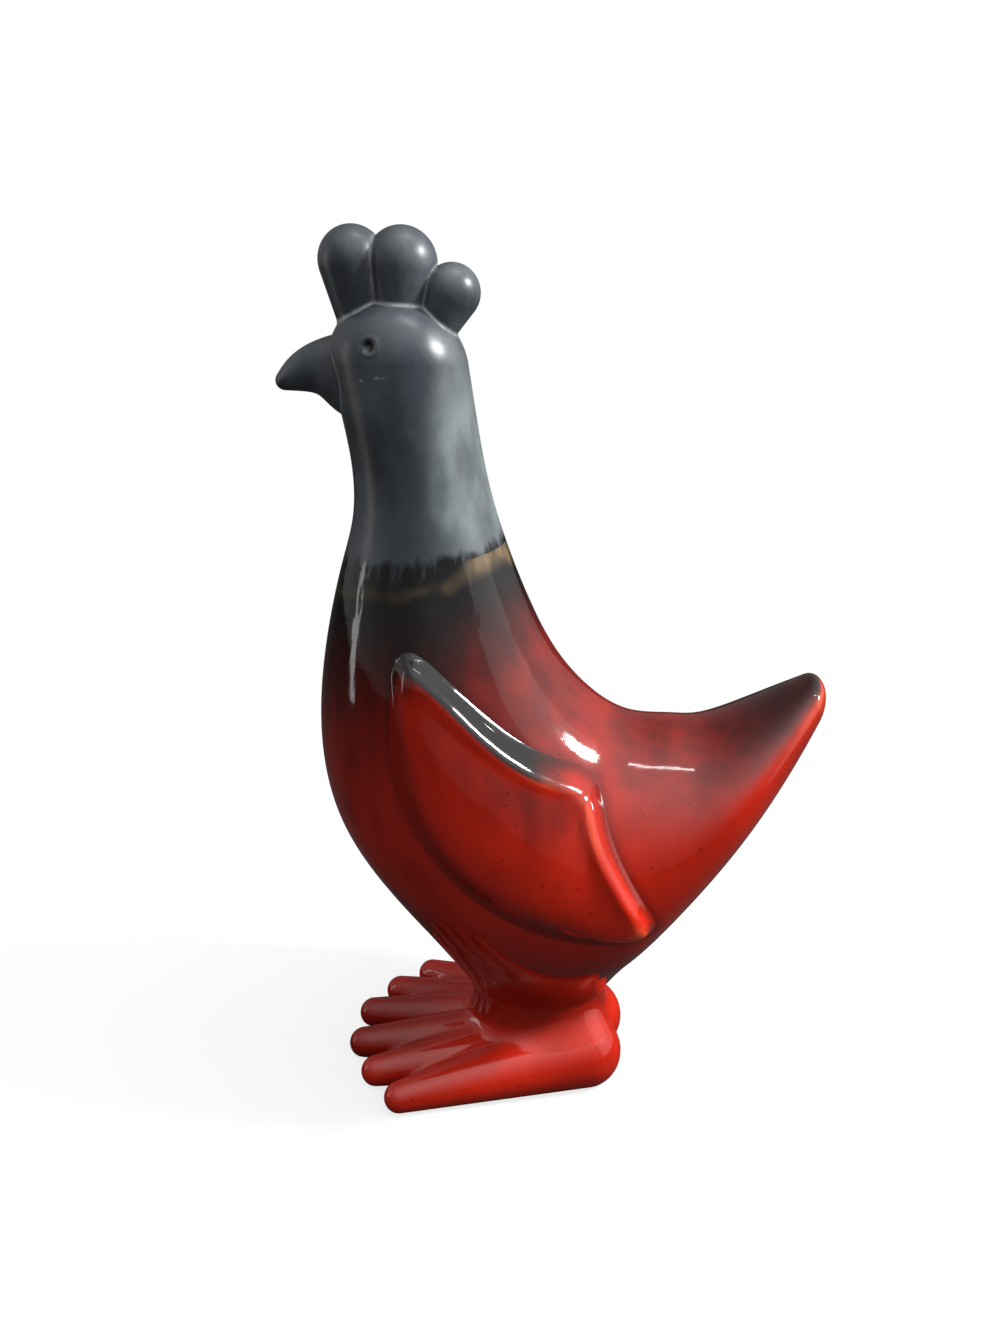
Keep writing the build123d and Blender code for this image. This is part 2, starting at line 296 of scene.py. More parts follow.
def land_on_body(measure, target, along, turn):
    """Newton's method: finds the place and turn whose point measures the same as the target."""
    small = 1e-3
    lowest, highest = along - 5, along + 5
    for _ in range(12):
        miss = measure(body_point(along, turn)) - target
        by_along = measure(body_point(along + small, turn)) - measure(body_point(along - small, turn))
        by_along = by_along / (2 * small)
        by_turn = measure(body_point(along, turn + small)) - measure(body_point(along, turn - small))
        by_turn = by_turn / (2 * small)
        area = by_along[..., 0] * by_turn[..., 1] - by_along[..., 1] * by_turn[..., 0]
        area = np.where(np.abs(area) < 1e-6, 1e-6, area)
        step_along = (miss[..., 0] * by_turn[..., 1] - miss[..., 1] * by_turn[..., 0]) / area
        step_turn = (by_along[..., 0] * miss[..., 1] - by_along[..., 1] * miss[..., 0]) / area
        along = along - np.clip(step_along, -3, 3)
        turn = turn - np.clip(step_turn, -0.2, 0.2)
        along = np.clip(along, lowest, highest)
        turn = np.clip(turn, 0.02, 1.98)
    return along, turn


def side_view(points):
    """X and Z of points."""
    return points[..., [0, 2]]


print("body surface from", len(SECTIONS), "sections and a net of", net_along.size, "places")


# %% [markdown]
# ## Distances to simple solids
#
# Where clay rolls are pressed together, the joint is a soft crease. Each roll is a distance to a round
# cone, the soft minimum of the distances is the joined form, and rays from inside find its surface.


# %% Distance fields and rays
def round_cone(points, start, end, start_radius, end_radius):
    """Distance to the hull of two balls."""
    axis = np.subtract(end, start)
    length2 = axis @ axis
    shrink = start_radius - end_radius
    side2 = length2 - shrink**2
    rel = points - np.asarray(start)
    height = rel @ axis
    beyond = height - length2
    across2 = ((rel * length2 - axis * height[..., None]) ** 2).sum(-1)
    bound = np.sign(shrink) * shrink**2 * across2
    at_end = np.sqrt(across2 + beyond**2 * length2) / length2 - end_radius
    at_start = np.sqrt(across2 + height**2 * length2) / length2 - start_radius
    flank = (np.sqrt(across2 * side2 / length2) + height * shrink) / length2 - start_radius
    near_end = np.sign(beyond) * side2 * beyond**2 * length2 > bound
    near_start = np.sign(height) * side2 * height**2 * length2 < bound
    return np.where(near_end, at_end, np.where(near_start, at_start, flank))


def cast(origin, directions, field, reach, steps=90, pace=0.8):
    """Walks in along each ray from reach, by the distance that the field gives, to the surface."""
    travel = np.zeros(directions.shape[:-1]) + reach
    for _ in range(steps):
        travel -= pace * field(origin + directions * travel[..., None])
        travel = np.maximum(travel, 0.5)
    return origin + directions * travel[..., None]


gap = round_cone(np.array([[0.0, 0.0, 3.0]]), (0.0, 0.0, 0.0), (0.0, 0.0, 1.0), 1.0, 0.8)
print("from a height of 3 to a cone that ends in a ball of 0.8 at a height of 1:", gap.round(2))


# %% Normals and curvature
def grid_normals(grid):
    """Unit normals of a grid: the cross product of its two directions, turned to face out."""
    by_row = np.gradient(grid, axis=0)
    by_column = np.roll(grid, -1, 1) - np.roll(grid, 1, 1)
    normal = np.cross(by_column, by_row)
    normal /= np.linalg.norm(normal, axis=-1, keepdims=True) + 1e-12
    middle = grid.mean((0, 1))
    outward = np.median(((grid - middle) * normal).sum(-1)) > 0
    return normal if outward else -normal


def curvature(grid, span):
    """How convex the surface is at each point, in 1/mm, from points about span away both ways."""
    normal = grid_normals(grid)
    total = np.zeros(grid.shape[:2])
    for axis in (0, 1):
        lengths = np.linalg.norm(np.diff(grid, axis=axis), axis=-1)
        hop = int(max(1, round(span / np.median(lengths))))
        if axis:
            ahead, behind = np.roll(grid, -hop, 1), np.roll(grid, hop, 1)
        else:
            index = np.arange(len(grid))
            ahead = grid[np.minimum(index + hop, len(grid) - 1)]
            behind = grid[np.maximum(index - hop, 0)]
        bend = ahead + behind - 2 * grid
        spread = np.linalg.norm(ahead - grid, axis=-1) + np.linalg.norm(behind - grid, axis=-1)
        spread = np.maximum(spread / 2, 0.2)
        total -= (bend * normal).sum(-1) / spread**2
    return total


ring_angle = np.linspace(0, 2 * np.pi, 60, endpoint=False)
tube_height = np.linspace(0, 20, 30)[:, None] * np.ones(60)
tube_sides = [10 * wave(ring_angle) + 0 * tube_height for wave in (np.cos, np.sin)]
tube = np.stack([*tube_sides, tube_height], -1)
print("curvature of a tube with a radius of 10 mm:", curvature(tube, 3.0).mean().round(3))


# %% [markdown]
# ## Glazes
#
# Two glazes cover the bird. The red one is thick and glossy: it runs thin and orange over edges, pools
# dark in grooves, and carries black overspray on what faces up and below the neck. Painted shade in the
# same deep red darkens the low belly, the ankle and the toes. The head's glaze is a satin charcoal. Both
# are node materials on Object coordinates, so they stay where they are on the clay from any side, and
# pattern sizes below are real millimetres.


# %% Node helper
MATH = "ShaderNodeMath"
VECTOR = "ShaderNodeVectorMath"
RANGE = "ShaderNodeMapRange"
MIX = "ShaderNodeMix"
SPLIT = "ShaderNodeSeparateXYZ"
STORED = "ShaderNodeAttribute"
# Settings that many nodes share
SMOOTH = {"interpolation_type": "SMOOTHSTEP"}
COLOURS = {"data_type": "RGBA"}
TIMES = {"operation": "MULTIPLY"}
PLUS = {"operation": "ADD"}
MINUS = {"operation": "SUBTRACT"}
LARGER = {"operation": "MAXIMUM"}
UNSIGNED = {"operation": "ABSOLUTE"}
DOT = {"operation": "DOT_PRODUCT", "output": "Value"}


def colour(hex_code):
    """Linear colour with alpha from an sRGB hex code."""
    srgb = np.array([int(hex_code[i : i + 2], 16) for i in (1, 3, 5)]) / 255
    linear = np.where(srgb <= 0.04045, srgb / 12.92, ((srgb + 0.055) / 1.055) ** 2.4)
    return (*linear.tolist(), 1.0)


def add(tree, kind, *values, named=None, output=None, **settings):
    """Adds a node with settings. Values and links go to its open inputs in order, or by name.

    Returns the output of that name, or else the first open one.
    """
    node = tree.nodes.new(kind)
    for name, value in settings.items():
        setattr(node, name, value)
    given = list(zip([socket for socket in node.inputs if socket.enabled], values))
    given += [(node.inputs[name], value) for name, value in (named or {}).items()]
    for socket, value in given:
        if isinstance(value, bpy.types.NodeSocket):
            tree.links.new(value, socket)
        else:
            socket.default_value = value
    if output:
        return node.outputs[output]
    return next((socket for socket in node.outputs if socket.enabled), None)


print("white is", colour("#ffffff"))

# %% [markdown]
# ## What both glazes share
#
# Clay and glaze have patterns of a known size, such as a sponge's dabs or an orange peel, so a pattern is
# asked for by its size in millimetres. Where the two glazes meet, the upper one ends in combed streaks,
# which both materials have to agree on. Fired glaze is a glass, so its index of refraction is that of
# glass, and a bump of a few hundredths of a millimetre breaks up its reflections.

# %% Parts of a glaze
GLAZE_IOR = 1.5


def new_glaze(name):
    """An empty node material, its tree, and the place on the clay in millimetres."""
    material = bpy.data.materials.new(name)
    material.use_nodes = True
    tree = material.node_tree
    tree.nodes.clear()
    metres = add(tree, "ShaderNodeTexCoord", output="Object")
    return material, tree, add(tree, VECTOR, metres, named={"Scale": 1 / MM}, operation="SCALE")


def pattern(tree, place, size, detail=3.0, stretch=(1, 1, 1)):
    """A mottled pattern with cells about size mm across, longer along an axis where stretch is larger."""
    scale = tuple(1.0 / (size * part) for part in stretch)
    scaled = add(tree, VECTOR, place, scale, **TIMES)
    return add(tree, "ShaderNodeTexNoise", named={"Vector": scaled, "Scale": 1.0, "Detail": detail})


def below_joint(tree, place):
    """How far a place lies below the plane of the neck's joint, in millimetres."""
    away = add(tree, VECTOR, place, (JOINT_X, 0.0, JOINT_Z), **MINUS)
    down = (float(np.sin(JOINT_LEAN)), 0.0, float(-np.cos(JOINT_LEAN)))
    return add(tree, VECTOR, away, down, **DOT)


def satin_share(tree, place, depth):
    """Where the satin glaze lies over the gloss: all above the joint, with a combed lower edge."""
    streak = pattern(tree, place, 3.0, 3.0, (1, 1, 6))
    wander = pattern(tree, place, 15.0, 1.0)
    edge = add(tree, MATH, depth, add(tree, RANGE, wander, 0.3, 0.7, 1.0, -1.0, **SMOOTH), **PLUS)
    toothed = add(tree, MATH, edge, add(tree, RANGE, streak, 0.3, 0.7, 1.2, -1.6, **SMOOTH), **PLUS)
    drawn = add(tree, RANGE, streak, 0.48, 0.75, 0.0, 0.7, **SMOOTH)
    smear = add(tree, MATH, drawn, add(tree, RANGE, edge, 10.0, -1.0, **SMOOTH), **TIMES)
    return add(tree, MATH, add(tree, RANGE, toothed, 0.2, -4.6, **SMOOTH), smear, **LARGER)


def finish_glaze(tree, base, roughness, height):
    """Puts the glaze's shader on the surface, with a bump of some height in millimetres."""
    bump = add(tree, "ShaderNodeBump", named={"Strength": 1.0, "Distance": MM, "Height": height})
    inputs = {"Base Color": base, "Roughness": roughness, "Normal": bump, "IOR": GLAZE_IOR}
    shader = add(tree, "ShaderNodeBsdfPrincipled", named=inputs)
    add(tree, "ShaderNodeOutputMaterial", named={"Surface": shader})


print("glazes refract by", GLAZE_IOR)

# %% [markdown]
# ## The red gloss glaze
#
# Body, wings and feet were dipped in a thick, glassy red. It runs thin and orange over edges, pools dark
# in hollows and carries specks of iron, and a black spray settled on it from above. Painted shade in the
# same deep red darkens the low belly, the ankle and the toes. A painted picture could show that. Values
# stored at the mesh's points, such as how curved the clay is there, let nodes put each effect where the
# form asks for it.

# %% Red gloss glaze
RED_DEEP = colour("#8c180c")
RED_BODY = colour("#be2411")
RED_THIN = colour("#e04d2a")
# Deep red of glaze pooled in hollows, also used for painted shade on the low belly, the ankle and the toes
RED_POOL_AND_SHADE = colour("#450703")
OVERSPRAY = colour("#0d0c0d")
JOINT_TAN = colour("#8a7350")
JOINT_OLIVE = colour("#3c3120")
SATIN_GREY = colour("#3d434b")
SPECK_SIZE = 4.5


def iron_specks(tree, place):
    """Small dark specks: the middles of some cells of a Voronoi pattern."""
    scaled = add(tree, VECTOR, place, named={"Scale": 1 / SPECK_SIZE}, operation="SCALE")
    cells = add(tree, "ShaderNodeTexVoronoi", named={"Vector": scaled, "Scale": 1.0}).node.outputs
    chosen = add(tree, RANGE, add(tree, SPLIT, cells["Color"]), 0.7, 0.8, **SMOOTH)
    near = add(tree, RANGE, cells["Distance"], 0.2, 0.06, **SMOOTH)
    return add(tree, MATH, add(tree, MATH, near, chosen, **TIMES), 0.6, **TIMES)


def joint_line(tree, place, depth, runs):
    """The pale line below the neck's joint, wavy and broken: its share and its colour."""
    behind = add(tree, RANGE, add(tree, SPLIT, place), -42.0, -22.0, **SMOOTH)
    middle = add(tree, MATH, 9.0, add(tree, MATH, behind, 7.0, **TIMES), **MINUS)
    reach = add(tree, MATH, 2.4, add(tree, MATH, behind, 3.0, **TIMES), **PLUS)
    wave = add(tree, RANGE, pattern(tree, place, 14.0, 2.0), 0.3, 0.7, -1.2, 1.2, **SMOOTH)
    wavy = add(tree, MATH, depth, wave, **PLUS)
    off_line = add(tree, MATH, add(tree, MATH, wavy, middle, **MINUS), **UNSIGNED)
    off_line = add(tree, MATH, off_line, reach, operation="DIVIDE")
    line = add(tree, RANGE, off_line, 1.5, 0.1, **SMOOTH)
    broken = add(tree, RANGE, runs, 0.35, 0.65, 0.25, 0.75, **SMOOTH)
    tint = add(tree, MIX, behind, JOINT_OLIVE, JOINT_TAN, **COLOURS)
    return add(tree, MATH, line, broken, **TIMES), tint


def red_gloss_glaze():
    """Dipped and sprayed: thin on edges, pooled in grooves, oversprayed from above, specked with iron, with
    painted shade low down.
    """
    material, tree, place = new_glaze("red_gloss_glaze")
    curve = add(tree, STORED, attribute_name="curve", output="Fac")
    pool_and_shade = add(tree, STORED, attribute_name="pool_and_shade", output="Fac")
    soot = add(tree, STORED, attribute_name="soot", output="Fac")
    depth = below_joint(tree, place)
    cloud = pattern(tree, place, 30.0, 3.0)
    mottle = pattern(tree, place, 5.0, 4.0)
    runs = pattern(tree, place, 8.0, 2.0, (1, 1, 6))

    # Each layer hides some share of what lies below it
    cloudy = add(tree, RANGE, cloud, 0.38, 0.75, 0.0, 0.5, **SMOOTH)
    mottled = add(tree, RANGE, mottle, 0.5, 0.8, 0.0, 0.22, **SMOOTH)
    even = add(tree, RANGE, mottle, 0.25, 0.6, 0.7, 1.0, **SMOOTH)
    thin = add(tree, MATH, add(tree, RANGE, curve, 0.07, 0.26, **SMOOTH), even, **TIMES)
    sunken = add(tree, RANGE, curve, -0.02, -0.2, 0.0, 0.8, **SMOOTH)
    # Pooled glaze from concave curve and the stored mark, which also carries painted shade on the low
    # belly, the ankle and the toes
    hollow = add(tree, MATH, sunken, add(tree, MATH, pool_and_shade, 0.65, **TIMES), **LARGER)
    unsettled = add(tree, MATH, add(tree, MATH, 1.0, soot, **MINUS), soot, **TIMES)
    wisps = add(tree, RANGE, runs, 0.3, 0.7, -0.3, 0.3, **SMOOTH)
    drift = add(tree, MATH, add(tree, RANGE, cloud, 0.3, 0.7, -0.08, 0.08, **SMOOTH), wisps, **PLUS)
    sprayed = add(tree, MATH, soot, add(tree, MATH, unsettled, drift, **TIMES), **PLUS)
    line, line_colour = joint_line(tree, place, depth, runs)
    satin = satin_share(tree, place, depth)
    layers = [(cloudy, RED_DEEP), (mottled, RED_DEEP), (thin, RED_THIN), (hollow, RED_POOL_AND_SHADE)]
    layers += [(iron_specks(tree, place), RED_POOL_AND_SHADE), (sprayed, OVERSPRAY)]
    layers += [(line, line_colour), (satin, SATIN_GREY)]
    base = RED_BODY
    for share, paint in layers:
        base = add(tree, MIX, share, base, paint, **COLOURS)

    gloss = add(tree, RANGE, mottle, 0.3, 0.7, 0.06, 0.1, **SMOOTH)
    roughness = add(tree, MATH, gloss, add(tree, MATH, satin, 0.26, **TIMES), **PLUS)
    orange_peel = add(tree, MATH, pattern(tree, place, 4.0, 2.0), 0.03, **TIMES)
    swell = add(tree, MATH, pattern(tree, place, 16.0, 1.0), 0.2, **TIMES)
    near_neck = add(tree, RANGE, depth, 70.0, 5.0, **SMOOTH)
    drip = add(tree, MATH, add(tree, MATH, runs, near_neck, **TIMES), 0.3, **TIMES)
    height = add(tree, MATH, add(tree, MATH, orange_peel, swell, **PLUS), drip, **PLUS)
    finish_glaze(tree, base, roughness, height)
    return material


red_glaze = red_gloss_glaze()
print("made", red_glaze.name, "with", len(red_glaze.node_tree.nodes), "nodes")

# %% [markdown]
# ## The charcoal satin glaze
#
# Head, comb and beak wear a satin glaze that was brushed and sponged on: cloudy, and bare in the creases
# that a sponge doesn't reach. A painted sheen pales the back of the neck, and painted shade darkens the
# eye's hollow. One colour with one roughness looks like plastic, so clouds, smudges and a fine grain vary
# both.

# %% Charcoal satin glaze
CHARCOAL = colour("#363b43")
CHARCOAL_PALE = colour("#4b5157")
CHARCOAL_DARK = colour("#1d2025")
# Pale grey-green of a painted sheen
CHARCOAL_SHEEN = colour("#788181")
# Painted shade inside the eye's hollow
EYE_PIT_SHADE = colour("#121417")
BARE_LINE = colour("#8d9294")
SCUFF = colour("#8b8880")
# Two small scuffs under the left eye: x, z and half length
SCUFFS = ((-68.6, 299.6, 1.1), (-62.0, 300.6, 3.0))
SCUFF_HALF_HEIGHT = 0.6
GLOSS_ROUGHNESS = 0.08


def scuff_share(tree, place, fine, scuff):
    """A short level scratch on the left cheek, broken by a fine pattern."""
    scuff_x, scuff_z, length = scuff
    x, y, z = add(tree, SPLIT, place).node.outputs
    along = add(tree, MATH, add(tree, MATH, x, scuff_x, **MINUS), **UNSIGNED)
    across = add(tree, MATH, add(tree, MATH, z, scuff_z, **MINUS), **UNSIGNED)
    mark = add(tree, RANGE, along, length, length * 0.5, **SMOOTH)
    mark = add(tree, MATH, mark, add(tree, RANGE, across, SCUFF_HALF_HEIGHT, 0.2, **SMOOTH), **TIMES)
    mark = add(tree, MATH, mark, add(tree, RANGE, fine, 0.4, 0.56, **SMOOTH), **TIMES)
    mark = add(tree, MATH, mark, add(tree, RANGE, y, -12.0, -15.0, **SMOOTH), **TIMES)
    return add(tree, MATH, mark, 0.75, **TIMES)


def charcoal_satin_glaze():
    """Brushed and sponged: soft clouds, pale lines in the creases and a few scuffs by the eye, with a
    painted sheen down the back of the neck and painted shade in the eye's hollow.
    """
    material, tree, place = new_glaze("charcoal_satin_glaze")
    x, _, z = add(tree, SPLIT, place).node.outputs
    seam = add(tree, STORED, attribute_name="seam", output="Fac")
    eye = add(tree, STORED, attribute_name="eye", output="Fac")
    cloud = pattern(tree, place, 17.0, 3.0, (1, 1, 1.6))
    fine = pattern(tree, place, 1.8, 4.0, (1, 1, 1.6))
    smudge = pattern(tree, place, 24.0, 4.0, (1, 1, 1.8))

    # Each layer hides some share of what lies below it
    cloudy = add(tree, RANGE, cloud, 0.4, 0.7, **SMOOTH)
    speckled = add(tree, RANGE, fine, 0.45, 0.75, 0.0, 0.25, **SMOOTH)
    smudged = add(tree, RANGE, smudge, 0.5, 0.68, 0.0, 0.6, **SMOOTH)
    # Painted sheen down the back of the neck, in clouds, stronger lower down
    low_down = add(tree, RANGE, z, 305.0, 280.0, 0.25, 1.0, **SMOOTH)
    hazy = add(tree, MATH, add(tree, RANGE, smudge, 0.7, 0.45, 0.3, 0.95, **SMOOTH), low_down, **TIMES)
    painted_sheen = add(tree, MATH, hazy, add(tree, RANGE, x, -48.0, -38.0, 0.1, 1.0, **SMOOTH), **TIMES)
    lower = add(tree, MATH, add(tree, RANGE, z, 255.0, 238.0, **SMOOTH), 0.6, **TIMES)
    bare = add(tree, MATH, seam, add(tree, RANGE, fine, 0.3, 0.6, 0.4, 0.9, **SMOOTH), **TIMES)
    layers = [(cloudy, CHARCOAL_PALE), (speckled, CHARCOAL_DARK), (smudged, CHARCOAL_DARK)]
    layers += [(painted_sheen, CHARCOAL_SHEEN), (lower, SATIN_GREY), (bare, BARE_LINE), (eye, EYE_PIT_SHADE)]
    layers += [(scuff_share(tree, place, fine, scuff), SCUFF) for scuff in SCUFFS]
    base = CHARCOAL
    for share, paint in layers:
        base = add(tree, MIX, share, base, paint, **COLOURS)

    # Below its combed edge the head's mesh shows the gloss glaze that it laps
    satin = satin_share(tree, place, below_joint(tree, place))
    base = add(tree, MIX, satin, OVERSPRAY, base, **COLOURS)
    satin_roughness = add(tree, RANGE, cloud, 0.3, 0.7, 0.3, 0.38, **SMOOTH)
    roughness = add(tree, MIX, satin, GLOSS_ROUGHNESS, satin_roughness)
    grain = add(tree, MATH, pattern(tree, place, 0.9, 3.0), 0.01, **TIMES)
    height = add(tree, MATH, grain, add(tree, MATH, cloud, 0.3, **TIMES), **PLUS)
    finish_glaze(tree, base, roughness, height)
    return material


dark_glaze = charcoal_satin_glaze()
print("made", dark_glaze.name, "with", len(dark_glaze.node_tree.nodes), "nodes")

# %% [markdown]
# ## The wing's outline
#
# Each wing is a leaf of clay laid on the flank. Its outline could be drawn by hand with a curve object.
# Here three splines run through a few points on the body's own fan, and a blur round the ring softens
# the corners, as a thumb does on wet clay, so the outline follows when the body's sizes change.

# %% Wing outline
# Points of the leaf outline in the side view, as angle on the fan and depth below the back
WING_RIDGE = np.array([(198.2, 39.8), (207.4, 28.7), (226.4, 20.2), (241.2, 13.7)])
WING_REAR = np.array([(241.2, 13.7), (246.1, 26.8), (253.4, 42.1), (261.4, 64.2)])
WING_LOWER = np.array([
    (261.4, 64.2), (252.1, 69.0), (237.4, 74.6), (225.4, 70.7), (211.3, 54.4), (198.2, 39.8),
])
WING_RUNS = (WING_RIDGE, WING_REAR, WING_LOWER)
WING_COLUMNS = 640
WING_MIDDLE = np.array([-7.5, 148.0])


def fan_place(points):
    """X and Z of points given by angle on the fan and depth below the back."""
    turn = np.radians(points[:, 0])
    radius = SADDLE_RADIUS + points[:, 1]
    return np.stack([SADDLE_X + radius * np.cos(turn), SADDLE_Z + radius * np.sin(turn)], -1)


def chord_knots(points):
    """Distances along a run of points."""
    return np.append(0, np.cumsum(np.linalg.norm(np.diff(points, axis=0), axis=1)))


def even_ring(ring, count):
    """Points at even distances round a closed ring."""
    closed = np.concatenate([ring, ring[:1]])
    knots = chord_knots(closed)
    at = np.linspace(0, knots[-1], count, endpoint=False)
    return np.stack([np.interp(at, knots, closed[:, i]) for i in range(closed.shape[1])], -1)


def wing_outline():
    """The leaf: three splines, then a bell blur along the ring that rounds its three corners."""
    runs = []
    for points in WING_RUNS:
        place = fan_place(points)
        knots = chord_knots(place)
        runs.append(spline(knots, place, np.linspace(0, knots[-1], 200))[:-1])
    ring = even_ring(np.concatenate(runs), 900)
    return even_ring(blur_ring(ring, 16.0), WING_COLUMNS)


wing_ring = wing_outline()
wing_start = nearest_start(side_view, wing_ring)
wing_edge_at = land_on_body(side_view, wing_ring, *wing_start)
wing_edge = body_point(*wing_edge_at)
print("wing outline", wing_ring.min(0).round(1), wing_ring.max(0).round(1))

# %% [markdown]
# ## The torso
#
# The torso is the large hollow casting, from the tail to the joint at the neck. It could be sculpted from
# a sphere. The splined sections keep it on the CAD body instead, and the same formulas tell the wings
# and the ankle where its skin is.

# %% Torso surface
TORSO_COLUMNS = 360
TORSO_ROWS = 244
DOME_ROWS = 26
TAIL_START = 3.3
TAIL_DOME_LENGTH = 11.5
TAIL_DOME_ANGLE = np.radians(22.0)


def tail_dome_rows(count):
    """Rows beyond the tail's last section: it shrinks by a cosine and moves out by a sine."""
    row = spline(KNOTS, SECTIONS, np.array([TAIL_START]))[0]
    inner = spline(KNOTS, SECTIONS, np.array([TAIL_START + 0.5]))[0]
    middle = (row[0:2] + row[2:4]) / 2
    outward = middle - (inner[0:2] + inner[2:4]) / 2
    outward = outward / np.linalg.norm(outward)
    angle = np.linspace(np.radians(88.0), TAIL_DOME_ANGLE, count, endpoint=False)[:, None]
    scale = np.cos(angle) / np.cos(TAIL_DOME_ANGLE)
    moved = middle + outward * TAIL_DOME_LENGTH * (np.sin(angle) - np.sin(TAIL_DOME_ANGLE))
    back = moved + (row[0:2] - middle) * scale
    front = moved + (row[2:4] - middle) * scale
    return np.concatenate([back, front, row[4] * scale, np.full((count, 2), row[5:7])], 1)


def distance_to_curve(points, curve):
    """Distance from each point to the nearest point of a curve."""
    flat = points.reshape(-1, points.shape[-1])
    parts = [
        np.sqrt(((part[:, None] - curve[None]) ** 2).sum(-1)).min(1)
        for part in np.array_split(flat, 1 + len(flat) // 4000)
    ]
    return np.concatenate(parts).reshape(points.shape[:-1])


def torso_grid():
    """The body's skin from the domed tail end to just inside the neck."""
    along = np.linspace(TAIL_START, LAP_T + LAP_LENGTH, TORSO_ROWS)
    rows = np.concatenate([tail_dome_rows(DOME_ROWS), spline(KNOTS, SECTIONS, along)])
    turn = np.linspace(0, 4, TORSO_COLUMNS, endpoint=False)
    grid = egg(rows[:, None, :], turn[None])
    inside = step(LAP_T, LAP_T + LAP_LENGTH, np.append(np.zeros(DOME_ROWS), along))
    return grid + (grid.mean(1, keepdims=True) - grid) * inside[:, None, None] * LAP_SINK


torso_points = torso_grid()
print("torso from", torso_points.min((0, 1)).round(1), "to", torso_points.max((0, 1)).round(1))

# %% Torso piece
both_edges = np.concatenate([wing_edge, wing_edge * [1, -1, 1]])[::3]


def torso_soot(points):
    """Overspray: all below the neck's joint, thinning out downward, and on what faces up."""
    behind = (points[..., 0] - JOINT_X) * np.sin(JOINT_LEAN)
    below = behind - (points[..., 2] - JOINT_Z) * np.cos(JOINT_LEAN)
    below = below * (1 + 0.45 * step(-45, -5, points[..., 0]))
    under_neck = 1 - step(12, 150, below)
    normal = grid_normals(points)
    tail = step(5, 60, points[..., 0])
    tip = step(45, 88, points[..., 0])
    facing_up = step(0.35, 0.92, normal[..., 2]) * (0.62 + 0.36 * tip)
    back = 0.72 * step(140, 185, points[..., 2]) * (1 - tail)
    return np.maximum(np.maximum(under_neck, back), facing_up * step(0.85, 0.4, normal[..., 0]))


def torso_pool_and_shade(points):
    """Glaze pooled by the wings' edges, a deeper red over the tail, and painted shade with some pooled
    glaze low on the belly above the ankle.
    """
    edge = np.exp(-((distance_to_curve(points, both_edges) / 4.0) ** 2))
    tail = 0.3 * step(10, 60, points[..., 0])
    # Painted shade, with some pooled glaze, deepening toward the bottom of the belly
    return np.maximum(np.maximum(edge, tail), 0.85 * step(120, 58, points[..., 2]))


torso_marks = {
    "curve": curvature(torso_points, 4.0),
    "soot": torso_soot(torso_points),
    "pool_and_shade": torso_pool_and_shade(torso_points),
}
torso = clay_piece("torso_glazed", torso_points, red_glaze, torso_marks)
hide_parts("torso")

# %% [markdown]
# ## Head and neck
#
# The neck goes on from the body's sections to the brow, and a leaning half ellipsoid closes the crown.
# The eye is a fingertip's hollow in each side. A Boolean cut would leave a sharp edge, so points are
# moved in instead, with a slight rim where the clay gave way.

# %% Head surface
HEAD_COLUMNS = 340
NECK_ROWS = 212
CROWN_ROWS = 80
EYE_X = BROW_X - 6.5
EYE_Z = BROW_Z + 7.0
EYE_HALF = 2.8
EYE_DEPTH = 1.7


def crown_rows(count):
    """Rows above the brow: a quarter ellipse that starts with the forward lean of the neck."""
    tip = spline(KNOTS, SECTIONS, np.array([BROW_T - 0.2, BROW_T]))
    middle = (tip[:, 0:2] + tip[:, 2:4]) / 2
    lean = (middle[1, 0] - middle[0, 0]) / (middle[1, 1] - middle[0, 1])
    angle = np.linspace(0, np.radians(89.0), count)[1:, None]
    lift = CROWN_HEIGHT * np.sin(angle)
    shift = lean * lift * np.cos(angle)
    centre = middle[1] + np.concatenate([shift, lift], 1)
    back = centre + (tip[1, 0:2] - middle[1]) * np.cos(angle)
    front = centre + (tip[1, 2:4] - middle[1]) * np.cos(angle)
    width = tip[1, 4] * np.cos(angle)
    return np.concatenate([back, front, width, np.full((count - 1, 2), ROUND)], 1), lean


def head_grid():
    """Neck and head from inside the joint to the crown, with an eye pressed into each side."""
    along = np.linspace(LAP_T - LAP_LENGTH, BROW_T, NECK_ROWS)
    crown, lean = crown_rows(CROWN_ROWS)
    rows = np.concatenate([spline(KNOTS, SECTIONS, along), crown])
    turn = np.linspace(0, 4, HEAD_COLUMNS, endpoint=False)
    grid = egg(rows[:, None, :], turn[None])
    inside = step(LAP_T, LAP_T - LAP_LENGTH, np.append(along, np.full(len(crown), BROW_T)))
    grid += (grid.mean(1, keepdims=True) - grid) * inside[:, None, None] * LAP_SINK
    away = np.hypot(grid[..., 0] - EYE_X, grid[..., 2] - EYE_Z)
    on_side = np.abs(grid[..., 1]) > 10
    hollow = step(EYE_HALF, 0.5, away) * EYE_DEPTH
    rim = 0.2 * np.exp(-(((away - EYE_HALF - 0.4) / 0.6) ** 2))
    press = np.where(on_side, hollow - rim, 0)
    grid[..., 1] -= np.sign(grid[..., 1]) * press
    # Painted shade in the middle of the eye's hollow
    eye = np.where(on_side, step(2.2, 1.0, away), 0.0)
    return grid, eye, lean


head_points, eye_pit_shade, CROWN_LEAN = head_grid()
print("head from", head_points.min((0, 1)).round(1), "to", head_points.max((0, 1)).round(1))

# %% [markdown]
# ## The beak
#
# The beak is a rolled cone of clay with a slight hook. A curve object with a bevel would give a round
# one. Ellipses along a bent spine let height and width differ, and a small dome rounds off the tip.

